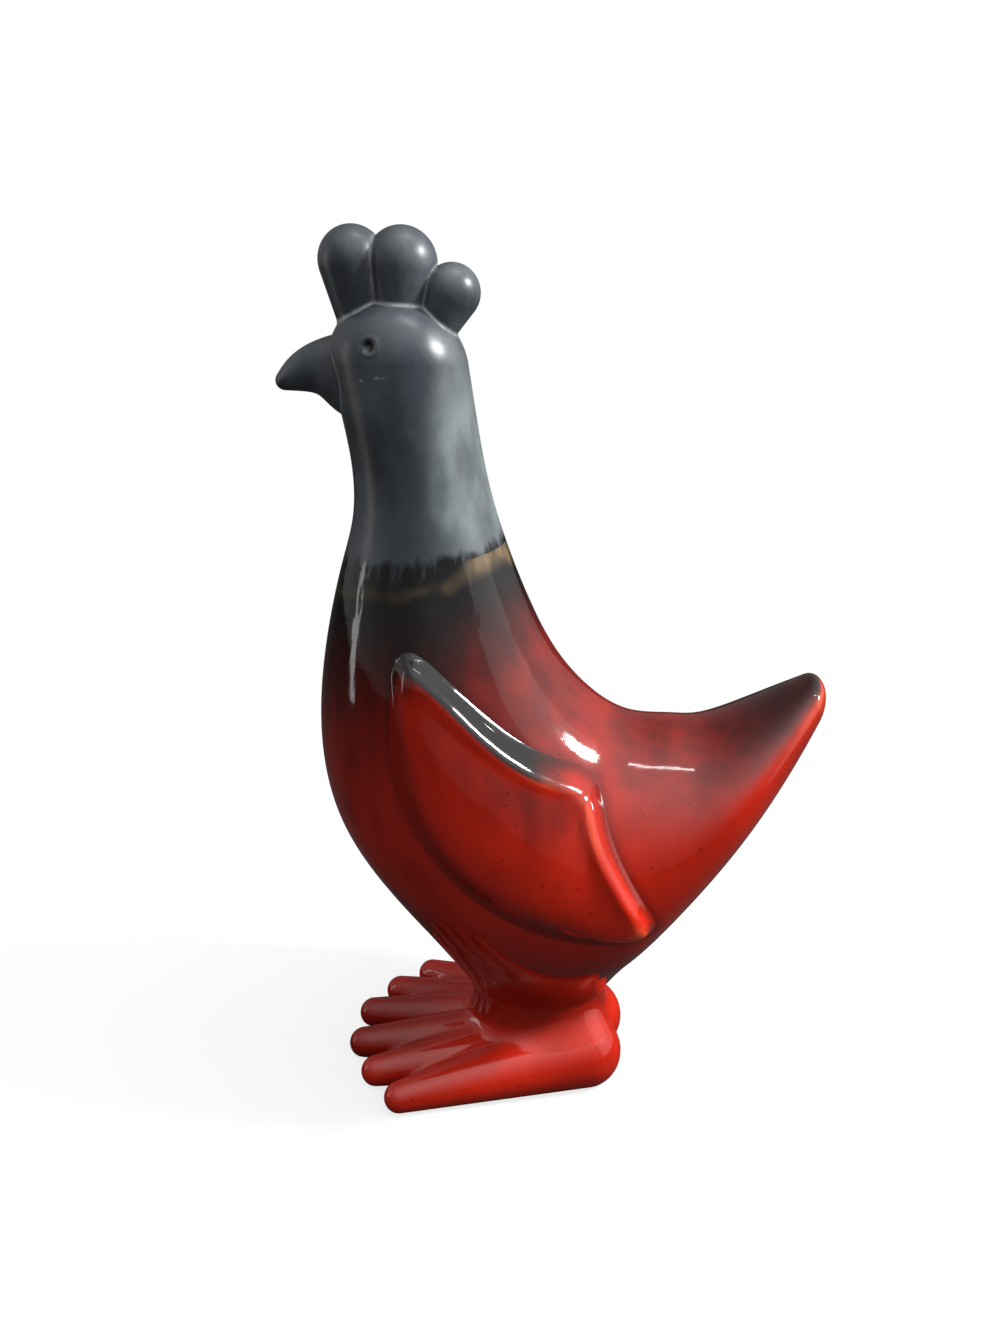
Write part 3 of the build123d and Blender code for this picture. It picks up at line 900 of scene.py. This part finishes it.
# %% Beak
# Places from the middle of the brow, and half height and width, from inside the head to the tip
BEAK_SECTIONS = np.array([
    (-11.0, -5.0, 17.5, 15.0),
    (-19.0, -3.5, 15.5, 13.0),
    (-31.0, -2.3, 9.8, 8.4),
    (-39.5, -4.7, 6.2, 5.6),
    (-44.6, -7.1, 3.4, 3.2),
])
BEAK_TIP_RADIUS = 4.4
BEAK_TIP_ANGLE = np.radians(28.0)


def beak_grid():
    """Ellipses along a bent spine, closed by a small dome at the tip."""
    knots = chord_knots(BEAK_SECTIONS[:, 0:2])
    at = np.linspace(0, knots[-1], 110)
    rows = spline(knots, BEAK_SECTIONS, at)
    direction = np.gradient(rows[:, 0:2], axis=0)[-1]
    direction = direction / np.linalg.norm(direction)
    angle = np.linspace(BEAK_TIP_ANGLE, np.radians(88.0), 24)[1:, None]
    dome = rows[-1] * np.ones_like(angle)
    dome[:, 0:2] += direction * BEAK_TIP_RADIUS * (np.sin(angle) - np.sin(BEAK_TIP_ANGLE))
    dome[:, 2:4] *= np.cos(angle) / np.cos(BEAK_TIP_ANGLE)
    rows = np.concatenate([rows, dome])
    slope = np.gradient(rows[:, 0:2], axis=0)
    slope /= np.linalg.norm(slope, axis=1, keepdims=True)
    turn = np.linspace(0, 2 * np.pi, 160, endpoint=False)
    up = rows[:, 2:3] * np.cos(turn)
    x = BROW_X + rows[:, 0:1] + slope[:, 1:2] * up
    z = BROW_Z + rows[:, 1:2] - slope[:, 0:1] * up
    return np.stack([x, rows[:, 3:4] * np.sin(turn), z], -1)


beak_points = beak_grid()
beak_plain = np.zeros(beak_points.shape[:2])
beak = clay_piece("beak_glazed", beak_points, dark_glaze, {"seam": beak_plain, "eye": beak_plain})
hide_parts("beak")

# %% [markdown]
# ## The comb
#
# Three pears of clay are pressed on the crown in a row and meet in soft creases. Metaballs would melt
# them into one thing. Here each lobe has a mesh of its own, found by rays from its foot in a field that
# knows its neighbours, so that the creases of two lobes lie on each other.

# %% Comb fields
# Ball and foot of each lobe from the crown: shift, rise and radius of both
COMB_LOBES = {
    "comb_front_lobe": (-16.0, 12.2, 12.2, -12.2, -11.0, 8.8),
    "comb_middle_lobe": (1.9, 11.2, 12.8, 0.5, -11.0, 9.5),
    "comb_rear_lobe": (19.8, 1.4, 10.3, 10.8, -16.0, 6.2),
}
COMB_FILLET = 1.4
COMB_CREASE = 0.9


def crown_distance(points):
    """Near the crown, roughly the distance to it: the reach on its leaning half ellipsoid, less 1."""
    lift = np.clip((points[..., 2] - BROW_Z) / CROWN_HEIGHT, 0, 1)
    level = np.sqrt(1 - lift**2)
    shift = CROWN_LEAN * CROWN_HEIGHT * lift * level + (1 - 2 * EGG_SHARE) * BROW_HALF_LENGTH * level
    ahead = points[..., 0] - BROW_X - shift
    length = 2 * BROW_HALF_LENGTH * np.where(ahead < 0, 1 - EGG_SHARE, EGG_SHARE)
    reach = (ahead / length) ** 2 + (points[..., 1] / BROW_HALF_WIDTH) ** 2
    reach = np.sqrt(reach + ((points[..., 2] - BROW_Z) / CROWN_HEIGHT) ** 2)
    return (reach - 1) * CROWN_HEIGHT


def lobe_distance(points, lobe):
    """Distance to a lobe's round cone."""
    ball_x, ball_z, ball_radius, foot_x, foot_z, foot_radius = lobe
    ball = (BROW_X + ball_x, 0.0, CROWN_Z + ball_z)
    foot = (BROW_X + foot_x, 0.0, CROWN_Z + foot_z)
    return round_cone(points, ball, foot, ball_radius, foot_radius)


def comb_field(name):
    """Field of one lobe: joined softly to the crown, and dipping under where a neighbour is nearer."""
    others = [lobe for other, lobe in COMB_LOBES.items() if other != name]

    def field(points):
        """Soft minimum of the lobes and the crown, raised where this lobe isn't the nearest."""
        own = lobe_distance(points, COMB_LOBES[name])
        neighbour = np.minimum(*[lobe_distance(points, lobe) for lobe in others])
        lobes = soft_min(own, neighbour, COMB_CREASE)
        crown = crown_distance(points)
        joined = soft_min(lobes, crown, COMB_FILLET)
        unblended = np.minimum(lobes, crown) - joined
        sunk = 0.12 * np.exp(-unblended / 0.05) * step(-2, 2, own - crown)
        return joined + sunk + 0.1 * np.maximum(own - crown, 0) + 0.6 * np.maximum(own - neighbour, 0)

    return field


print("lobes:", ", ".join(COMB_LOBES))


# %% Comb pieces
def lobe_grid(name):
    """Rays from the lobe's foot, fanning from its axis to just past its joint with the crown."""
    ball_x, ball_z, _, foot_x, foot_z, _ = COMB_LOBES[name]
    axis = np.array([ball_x - foot_x, 0.0, ball_z - foot_z])
    axis /= np.linalg.norm(axis)
    across = np.cross(axis, [0.0, 1.0, 0.0])
    lean = np.radians(np.linspace(0.6, 97.0, 170))[:, None, None]
    turn = np.linspace(0, 2 * np.pi, 180, endpoint=False)[None, :, None]
    round_axis = across * np.cos(turn) + np.array([0.0, 1.0, 0.0]) * np.sin(turn)
    directions = axis * np.cos(lean) + round_axis * np.sin(lean)
    origin = np.array([BROW_X + foot_x, 0.0, CROWN_Z + foot_z])
    grid = cast(origin, directions, comb_field(name), 45.0)
    closing = origin + (grid[-1:] - origin) * np.array([0.9, 0.5])[:, None, None]
    return np.concatenate([grid, closing])


def lobe_seam(name, points):
    """1 where the lobe meets a neighbour or the crown, gone within a millimetre."""
    own = lobe_distance(points, COMB_LOBES[name])
    others = [lobe_distance(points, lobe) for other, lobe in COMB_LOBES.items() if other != name]
    nearest = np.minimum(np.minimum(*others), crown_distance(points))
    return np.exp(-((np.maximum(nearest - own, 0) / 0.8) ** 2))


for lobe_name in COMB_LOBES:
    lobe_points = lobe_grid(lobe_name)
    lobe_marks = {"seam": lobe_seam(lobe_name, lobe_points), "eye": np.zeros(lobe_points.shape[:2])}
    lobe_piece = clay_piece(lobe_name + "_glazed", lobe_points, dark_glaze, lobe_marks)
    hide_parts(lobe_name)

# %% [markdown]
# ## Bare lines on the head
#
# Glaze draws back from a crease, so a pale line shows where comb and beak meet the head. It could be
# painted by hand. The distance to comb and beak gives it instead, so the head is made after them.

# %% Head piece
def head_seam(points):
    """1 where the head meets the comb or the beak, gone within a millimetre."""
    lobes = np.min([lobe_distance(points, lobe) for lobe in COMB_LOBES.values()], 0)
    nearest = np.maximum(lobes, 0)
    front = points[..., 0] < BROW_X - 12
    beak_places = beak_points[::2, ::2].reshape(-1, 3)
    nearest[front] = np.minimum(nearest[front], distance_to_curve(points[front], beak_places))
    return np.exp(-((nearest / 0.8) ** 2))


head_marks = {"seam": head_seam(head_points), "eye": eye_pit_shade}
head = clay_piece("head_and_neck_glazed", head_points, dark_glaze, head_marks)
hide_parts("head_and_neck")

# %% [markdown]
# ## The wings
#
# From its edge, a wing is a slab with a firm rolled ridge above and behind, and a shoulder that runs out
# softly in front. A Solidify modifier gives one thickness everywhere. Here two profiles, over the depth
# inside the outline, are blended, and their height is set out sideways from the flank.

# %% Wing surface
# Profiles of the wing's edge, out from its outline and up from the body: a firm ridge above and behind,
# and a soft shoulder in front
WING_FIRM = np.array([
    (-5.0, -1.4), (-2.8, -0.7), (-1.4, 0.0), (-0.4, 1.1), (0.6, 3.0), (1.6, 4.9), (2.8, 6.2), (4.1, 6.7),
    (5.5, 6.5), (7.5, 5.8), (10.5, 5.3), (14.5, 5.2), (24.0, 5.2), (34.0, 5.2),
])
WING_SOFT = np.array([
    (-5.0, -0.7), (-3.0, 0.0), (-0.5, 0.3), (2.0, 1.1), (5.5, 2.8), (9.5, 4.3),
    (13.0, 4.9), (17.0, 5.15), (24.0, 5.2), (34.0, 5.2),
])
WING_SKIRT = 5.0
ELBOW_BLEND = 10.0
SHOULDER_BLEND = 12.0


def wing_depth(place):
    """Depth inside the outline with its three runs blended at the corners, and how soft the edge is."""
    dense = even_ring(wing_ring, 3 * WING_COLUMNS)
    corners = [np.argmin(np.linalg.norm(dense - fan_place(run[:1]), axis=1)) for run in WING_RUNS]
    runs = np.split(np.roll(dense, -corners[0], 0), np.diff(corners).cumsum())
    ridge, rear, lower = [distance_to_curve(place, run) for run in runs]
    upper = soft_min(ridge, rear, 0.1 + ELBOW_BLEND * step(0, 14, np.minimum(ridge, rear)))
    return soft_min(upper, lower, SHOULDER_BLEND), step(-6, 30, upper - lower)


def wing_profile(depth, softness):
    """Height over the body: firm along the ridge and the rear edge, soft along the lower edge."""
    firm = spline(WING_FIRM[:, 0], WING_FIRM[:, 1:], np.clip(depth, *WING_FIRM[[0, -1], 0]))[..., 0]
    soft = spline(WING_SOFT[:, 0], WING_SOFT[:, 1:], np.clip(depth, *WING_SOFT[[0, -1], 0]))[..., 0]
    return firm + (soft - firm) * softness


def wing_grid():
    """The leaf on the body's left side, raised straight out from it: a skirt, then rows to its middle."""
    tangent = np.roll(wing_ring, -1, 0) - np.roll(wing_ring, 1, 0)
    outward = np.stack([tangent[:, 1], -tangent[:, 0]], -1) / np.linalg.norm(tangent, axis=1, keepdims=True)
    outward *= np.sign((outward * (wing_ring - WING_MIDDLE)).sum())
    outside = np.linspace(WING_SKIRT, 0, 13)[:-1, None]
    skirt = wing_ring + outward * outside[..., None]
    share = np.linspace(0, 0.99, 112)[:, None, None] ** 1.25
    inside = wing_ring + (WING_MIDDLE - wing_ring) * share
    depth, softness = wing_depth(inside)
    skirt_softness = softness[0] + 0 * outside
    depth = np.concatenate([depth[0] - outside, depth])
    height = wing_profile(depth, np.concatenate([skirt_softness, softness]))
    place = np.concatenate([skirt, inside])
    along, turn = land_on_body(side_view, place, *nearest_start(side_view, place))
    raised = body_point(along, turn)
    slant = np.sqrt((body_normal(along, turn)[..., 1] ** 2 + 0.8) / 1.8)
    raised[..., 1] -= height / slant
    raised[..., 0] = place[..., 0]
    raised[..., 2] = place[..., 1]
    return raised, height


wing_points, wing_height = wing_grid()
print("wing rises to", wing_height.max().round(1), "mm over the body")


# %% Wing pieces
def wing_soot(points):
    """Overspray along the ridge, which faces up, thickest at the shoulder and gone at the elbow."""
    ridge = step(0.0, 0.55, grid_normals(points)[..., 2]) * (1.0 - 0.8 * step(-8, 20, points[..., 0]))
    shoulder = fan_place(WING_RIDGE[:1])[0]
    away = np.hypot(points[..., 0] - shoulder[0], points[..., 2] - shoulder[1])
    return np.maximum(ridge, 0.95 * step(30, 8, away)) * step(118, 150, points[..., 2])


wing_marks = {
    "curve": curvature(wing_points, 2.5),
    "pool_and_shade": step(4.5, 0.2, wing_height),
    "soot": wing_soot(wing_points),
}
for wing_name, side in (("left_wing", 1.0), ("right_wing", -1.0)):
    wing_piece = clay_piece(wing_name + "_glazed", wing_points * [1.0, side, 1.0], red_glaze, wing_marks)
    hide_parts(wing_name)

# %% [markdown]
# ## The feet
#
# A foot is three tapering rolls of clay, pinched together at the heel and pressed flat on a board. Three
# scaled cones could be joined with a Boolean, but with hard creases. Here each roll is a distance, a soft
# minimum makes the crease, and rays aimed at a rough outline give an even grid along the toes.

# %% Foot surface
ANKLE_X = -5.0
TOE_TIP_RADIUS = 6.6
TOE_TIP_Z = 6.0
# Root ball from under the ankle: shift, y, z, radius; then the tip's shift and y, for the left foot
TOES = np.array([
    (21.5, -12.0, 12.2, 16.4, -55.5, -43.0),
    (5.0, -8.0, 11.4, 15.6, -68.7, -28.2),
    (-7.0, -4.5, 12.0, 14.6, -78.0, -10.6),
])
TOE_CREASE = 2.6
SOLE_ROUNDING = 1.6
ANKLE_FILLET = 11.0
FUNNEL_BLEND = 18.0
FOOT_ORIGIN = np.array([4.0, -8.0, 5.0])


def toes_distance(points):
    """Distance to the three toes of the left foot, joined with soft creases."""
    joined = None
    for shift, y, z, radius, tip_shift, tip_y in TOES:
        root = (ANKLE_X + shift, y, z)
        tip = (ANKLE_X + tip_shift, tip_y, TOE_TIP_Z)
        toe = round_cone(points, root, tip, radius, TOE_TIP_RADIUS)
        joined = toe if joined is None else soft_min(joined, toe, TOE_CREASE)
    return joined


def foot_field(points):
    """The left foot: its toes above the floor and left of the bird's middle."""
    above = -soft_min(-toes_distance(points), points[..., 2], SOLE_ROUNDING)
    return np.maximum(above, points[..., 1])


def foot_grid():
    """Rays from inside the foot, aimed at a rough outline of it: over the top, round the tips, below."""
    turn = np.linspace(0, 2 * np.pi, 460, endpoint=False)
    level = np.stack([np.cos(turn), np.sin(turn), np.zeros_like(turn)], -1)
    reach = np.linalg.norm(cast(FOOT_ORIGIN, level, foot_field, 130.0) - FOOT_ORIGIN, axis=1)
    top = np.linspace(0.02, 1, 110, endpoint=False)[:, None]
    tip = np.linspace(0, np.pi, 30)[:, None]
    sole = np.linspace(1, 0.03, 14)[1:, None]
    out = np.concatenate([top * (reach - 3), reach - 3 + 3 * np.sin(tip), sole * (reach - 3)])
    rise = [34 - 27 * top, 0.9 + 6.1 * np.cos(tip), -5.0 * np.ones_like(sole)]
    up = np.concatenate(rise) * np.ones_like(reach)
    length = np.hypot(out, up)[..., None]
    directions = (level[None] * out[..., None] + np.array([0, 0, 1.0]) * up[..., None]) / length
    return cast(FOOT_ORIGIN, directions, foot_field, 130.0, steps=110)


foot_points = foot_grid()
print("left foot from", foot_points.min((0, 1)).round(1), "to", foot_points.max((0, 1)).round(1))

# %% Foot pieces
foot_plain = np.zeros(foot_points.shape[:2])


def toe_shade(points):
    """Painted shade: deeper red toward the toes, less so on the outer one."""
    outer = step(16, 36, np.abs(points[..., 1]))
    return 0.9 * step(-12, -70, points[..., 0]) * (1 - 0.6 * outer)


foot_marks = {
    "curve": 0.5 * curvature(foot_points, 2.0),
    "pool_and_shade": toe_shade(foot_points),
    "soot": foot_plain,
}
for foot_name, side in (("left_foot", 1.0), ("right_foot", -1.0)):
    foot_piece = clay_piece(foot_name + "_glazed", foot_points * [1.0, side, 1.0], red_glaze, foot_marks)
    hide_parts(foot_name)

# %% [markdown]
# ## The ankle
#
# One thick stem of clay carries the body, sponged smooth into the belly above and the feet below. A bevel
# can't round such an uneven joint. The upper part is a radius round an upright axis, joined softly with
# the belly's own radius, and lower down rays find the soft joint with the toes.

# %% Ankle radius
ANKLE_COLUMNS = 360
# Height, half length and half width of the ankle
ANKLE_SECTIONS = np.array([
    (66.0, 33.0, 23.5),
    (52.0, 31.0, 22.4),
    (41.0, 29.4, 21.2),
    (25.0, 28.0, 20.0),
    (8.0, 26.0, 18.0),
])
# The funnel is the belly's skin seen from the ankle's axis, between these heights
FUNNEL_LOW = 38.0
FUNNEL_HIGH = 76.0
FUNNEL_HEIGHTS = np.linspace(FUNNEL_LOW, FUNNEL_HIGH, 20)
FUNNEL_STEP = 0.2
FUNNEL_COLUMNS = ANKLE_COLUMNS // 2
FUNNEL_RADIUS = 30.0
ANKLE_ORIGIN = np.array([ANKLE_X, 0.0, 12.0])
# How far the ankle lies under a neighbour where the two surfaces have become one
HAIR = 0.06


def round_ankle(points):
    """Way round the ankle from the front to the left, in millimetres, and height, as a pair."""
    angle = np.arctan2(-points[..., 1], -(points[..., 0] - ANKLE_X))
    return np.stack([angle * FUNNEL_RADIUS, points[..., 2]], -1)


def funnel_radii(angles):
    """Distance of the body's skin from the ankle's axis at some heights and angles of the left half."""
    target = np.stack(np.meshgrid(FUNNEL_HEIGHTS, angles * FUNNEL_RADIUS, indexing="ij")[::-1], -1)
    below = net_points[..., 2] < 120
    values = round_ankle(net_points)[below]
    flat = target.reshape(-1, 2)
    found = np.argmin(((flat[:, None] - values[None]) ** 2).sum(-1), 1)
    shape = target.shape[:-1]
    along = net_along[below][found].reshape(shape)
    turn = net_turn[below][found].reshape(shape)
    point = body_point(*land_on_body(round_ankle, target, along, turn))
    return np.hypot(point[..., 0] - ANKLE_X, point[..., 1])


funnel_angles = np.clip(np.linspace(0, np.pi, FUNNEL_COLUMNS + 1), 0.002, np.pi - 0.002)
funnel_levels = np.arange(FUNNEL_LOW, FUNNEL_HIGH, FUNNEL_STEP)
funnel = spline(FUNNEL_HEIGHTS, funnel_radii(funnel_angles), funnel_levels)
print("funnel radii front, side, back at 50 mm:", funnel[60][[0, FUNNEL_COLUMNS // 2, -1]].round(1))


def ankle_radius(angle, height):
    """Radius of the ankle and of the body above it, joined softly."""
    sizes = spline(ANKLE_SECTIONS[::-1, 0], ANKLE_SECTIONS[::-1, 1:], np.clip(height, 8, 66))
    column = 1 / np.sqrt((np.cos(angle) / sizes[..., 0]) ** 2 + (np.sin(angle) / sizes[..., 1]) ** 2)
    slot = np.abs(angle) / np.pi * FUNNEL_COLUMNS
    low = np.minimum(slot.astype(int), FUNNEL_COLUMNS - 1)
    part = slot - low
    level = np.clip((height - FUNNEL_LOW) / FUNNEL_STEP, 0, len(funnel_levels) - 1.001)
    rows = level.astype(int)
    rise = level - rows

    def at(row):
        """The funnel's radius in a row, between two columns."""
        return funnel[row, low] * (1 - part) + funnel[row, low + 1] * part

    body = at(rows) * (1 - rise) + at(rows + 1) * rise
    joined = -soft_min(-body, -column, FUNNEL_BLEND)
    return joined, joined - np.maximum(body, column)


# %% Ankle piece
def ankle_field(points):
    """The ankle joined to both feet, softly on top, and a hair inside the feet where they take over."""
    angle = np.arctan2(points[..., 1], -(points[..., 0] - ANKLE_X))
    radius = ankle_radius(angle, points[..., 2])[0]
    column = (np.hypot(points[..., 0] - ANKLE_X, points[..., 1]) - radius) * 0.7
    mirrored = points * [1, 0, 1] - np.abs(points) * [0, 1, 0]
    feet = toes_distance(mirrored)
    joined = soft_min(column, feet, 0.1 + ANKLE_FILLET * step(9, 32, points[..., 2]))
    part = np.minimum(column, feet) - joined
    return joined + HAIR * np.exp(-part / 0.06) * (feet < column), feet


def ankle_grid():
    """From a hair under the body's skin down the funnel, then rays from low inside to the feet."""
    turn = np.linspace(-np.pi, np.pi, ANKLE_COLUMNS, endpoint=False)
    height = np.linspace(75, 47, 74)[:, None]
    radius, blended = ankle_radius(turn + 0 * height, height + 0 * turn)
    radius = radius - HAIR * np.exp(-blended / 0.06)
    upper = np.stack([ANKLE_X - np.cos(turn) * radius, np.sin(turn) * radius, height + 0 * turn], -1)
    lower_height = np.linspace(46.6, 34, 36)[:, None]
    lower = ankle_radius(turn + 0 * lower_height, lower_height + 0 * turn)[0]
    skirt = np.linspace(0, 1, 60)[1:, None]
    low = np.concatenate([lower_height + 0 * turn, 34 - 21 * skirt + 0 * turn])
    out = np.concatenate([lower, lower[-1] + 17 * skirt])
    directions = np.stack([-np.cos(turn) * out, np.sin(turn) * out, low - ANKLE_ORIGIN[2]], -1)
    length = np.linalg.norm(directions, axis=-1)
    directions /= length[..., None]
    margin = 2 + 6 * step(0, 44, np.arange(len(out)))[:, None]

    def joined(points):
        """The field without the distance to the feet."""
        return ankle_field(points)[0]

    lower_grid = cast(ANKLE_ORIGIN, directions, joined, length + margin, steps=140, pace=0.7)
    # Painted shade: 1 on the stem, fading where it meets the toes
    pooled = np.concatenate([np.ones_like(blended), step(0.5, 7.0, ankle_field(lower_grid)[1])])
    grid = np.concatenate([upper, lower_grid])
    top = grid[:1] * [0.9, 0.9, 1] + [ANKLE_X * 0.1, 0, -1.0]
    bottom = ANKLE_ORIGIN + (grid[-1:] - ANKLE_ORIGIN) * 0.85
    return np.concatenate([top, grid, bottom]), np.concatenate([pooled[:1], pooled, pooled[-1:]])


ankle_points, ankle_shade = ankle_grid()
ankle_plain = np.zeros(ankle_points.shape[:2])
# Painted shade on the stem, and the toes' painted shade where the two meet
ankle_painted_shade = 0.85 * ankle_shade + (1 - ankle_shade) * toe_shade(ankle_points)
ankle_marks = {"curve": ankle_plain, "pool_and_shade": ankle_painted_shade, "soot": ankle_plain}
ankle = clay_piece("leg_stem_glazed", ankle_points, red_glaze, ankle_marks)
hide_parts("leg_stem")

# %% [markdown]
# ## Stage, light and camera
#
# The photograph has a pale ground, and a glossy glaze shows each light as a shape: a small bright window
# high behind the tail, a soft one low behind it, a thin strip before the beak and one overhead. A picture
# of a room could light the bird, but lamps and a world with soft bright sides can be set one by one.
# The camera sees white. Other rays meet a dim room and a dark floor, because the glaze in the photograph
# reflects a dark surround, and no metal or glass on the bird needs more.

# %% Floor
WHITE = (1.0, 1.0, 1.0, 1.0)
floor_mesh = bpy.data.meshes.new("floor")
floor_mesh.from_pydata([(-3, -3, 0), (3, -3, 0), (3, 3, 0), (-3, 3, 0)], [], [(0, 1, 2, 3)])
floor = bpy.data.objects.new("floor", floor_mesh)
bpy.context.collection.objects.link(floor)


def floor_material():
    """Pale board: the camera sees it lifted to white, more so further out, with the soft shadow kept."""
    material = bpy.data.materials.new("pale_board")
    material.use_nodes = True
    tree = material.node_tree
    tree.nodes.clear()
    seen = add(tree, "ShaderNodeLightPath", output="Is Camera Ray")
    place = add(tree, "ShaderNodeTexCoord", output="Object")
    distance = add(tree, VECTOR, place, operation="LENGTH", output="Value")
    lift = add(tree, MATH, seen, add(tree, RANGE, distance, 0.12, 0.5, 0.76, 1.0, **SMOOTH), **TIMES)
    board = add(tree, MIX, seen, colour("#343434"), colour("#f2f2f2"), **COLOURS)
    matt = add(tree, "ShaderNodeBsdfDiffuse", named={"Color": board})
    glow = add(tree, "ShaderNodeEmission", named={"Color": WHITE, "Strength": 1.0})
    mixed = add(tree, "ShaderNodeMixShader", lift, matt, glow)
    add(tree, "ShaderNodeOutputMaterial", named={"Surface": mixed})
    return material


floor_mesh.materials.append(floor_material())
print("floor", floor_mesh.materials[0].name)


# %% World
def studio_world(level, sides):
    """White behind the object for the camera. For all else a dim room, softly brighter on some sides."""
    world = bpy.data.worlds.new("studio")
    world.use_nodes = True
    tree = world.node_tree
    tree.nodes.clear()
    seen = add(tree, "ShaderNodeLightPath", output="Is Camera Ray")
    outlook = add(tree, "ShaderNodeTexCoord", output="Generated")
    strength = level
    for bright, spread, toward in sides:
        facing = add(tree, MATH, add(tree, VECTOR, outlook, toward, **DOT), 0.0, **LARGER)
        lit = add(tree, MATH, facing, spread, operation="POWER")
        strength = add(tree, MATH, add(tree, MATH, lit, bright, **TIMES), strength, **PLUS)
    strength = add(tree, MATH, strength, seen, **LARGER)
    room = add(tree, "ShaderNodeBackground", named={"Color": WHITE, "Strength": strength})
    add(tree, "ShaderNodeOutputWorld", named={"Surface": room})
    return world


# Strength, tightness and direction of the bright sides: overhead, behind the tail, before the beak
ROOM_SIDES = (
    (1.7, 3.5, (0.1, -0.3, 0.949)),
    (1.1, 4.0, (0.8, 0.25, 0.546)),
    (0.35, 6.0, (-0.95, 0.1, 0.3)),
)
ROOM_LEVEL = 0.16
bpy.context.scene.world = studio_world(ROOM_LEVEL, ROOM_SIDES)
bpy.context.scene.view_settings.view_transform = "Standard"
print("world with", len(ROOM_SIDES), "bright sides")

# %% [markdown]
# ## Lamps and camera
#
# Each lamp stands where a highlight in the photograph points: the small window shapes on back and wing,
# the sheen on the tail, and the thin lines on breast and neck. The camera stands about 40 cm away, as
# a phone does, and its lens was fitted to the outline in the photograph.

# %% Lamps and camera
AIM = Vector((-0.01, 0.0, 0.19))
# Name, bearing from the camera's side toward the tail, height angle, distance, width, height, watts
LAMPS = (
    ("key_window", 88.0, 38.0, 1.1, 0.17, 0.2, 16.5),
    ("right_window", 80.0, 14.0, 1.0, 0.8, 1.1, 1.8),
    ("left_window", -85.0, 2.0, 1.0, 0.08, 0.9, 0.7),
    ("overhead_strip", 90.0, 80.0, 1.0, 0.04, 0.4, 1.0),
)
for lamp_name, bearing, rise, away, lamp_width, lamp_height, lamp_power in LAMPS:
    lamp = bpy.data.lights.new(lamp_name, "AREA")
    lamp.shape = "RECTANGLE"
    lamp.size = lamp_width
    lamp.size_y = lamp_height
    lamp.energy = lamp_power
    turn, lift = np.radians(bearing), np.radians(rise)
    toward = Vector((np.sin(turn) * np.cos(lift), -np.cos(turn) * np.cos(lift), np.sin(lift)))
    lamp_object = bpy.data.objects.new(lamp_name, lamp)
    lamp_object.location = AIM + toward * away
    lamp_object.rotation_euler = (-toward).to_track_quat("-Z", "Y").to_euler()
    bpy.context.collection.objects.link(lamp_object)

CAMERA_PLACE = Vector((0.0198, -0.3978, 0.335))
CAMERA_TARGET = Vector((-0.022, 0.0, 0.187))
camera_data = bpy.data.cameras.new("camera")
camera_data.sensor_fit = "VERTICAL"
camera_data.sensor_height = 36.0
camera_data.lens = 28.735
camera = bpy.data.objects.new("camera", camera_data)
camera.location = CAMERA_PLACE
camera.rotation_euler = (CAMERA_TARGET - CAMERA_PLACE).to_track_quat("-Z", "Y").to_euler()
bpy.context.collection.objects.link(camera)
bpy.context.scene.camera = camera
print("lamps:", len(LAMPS))
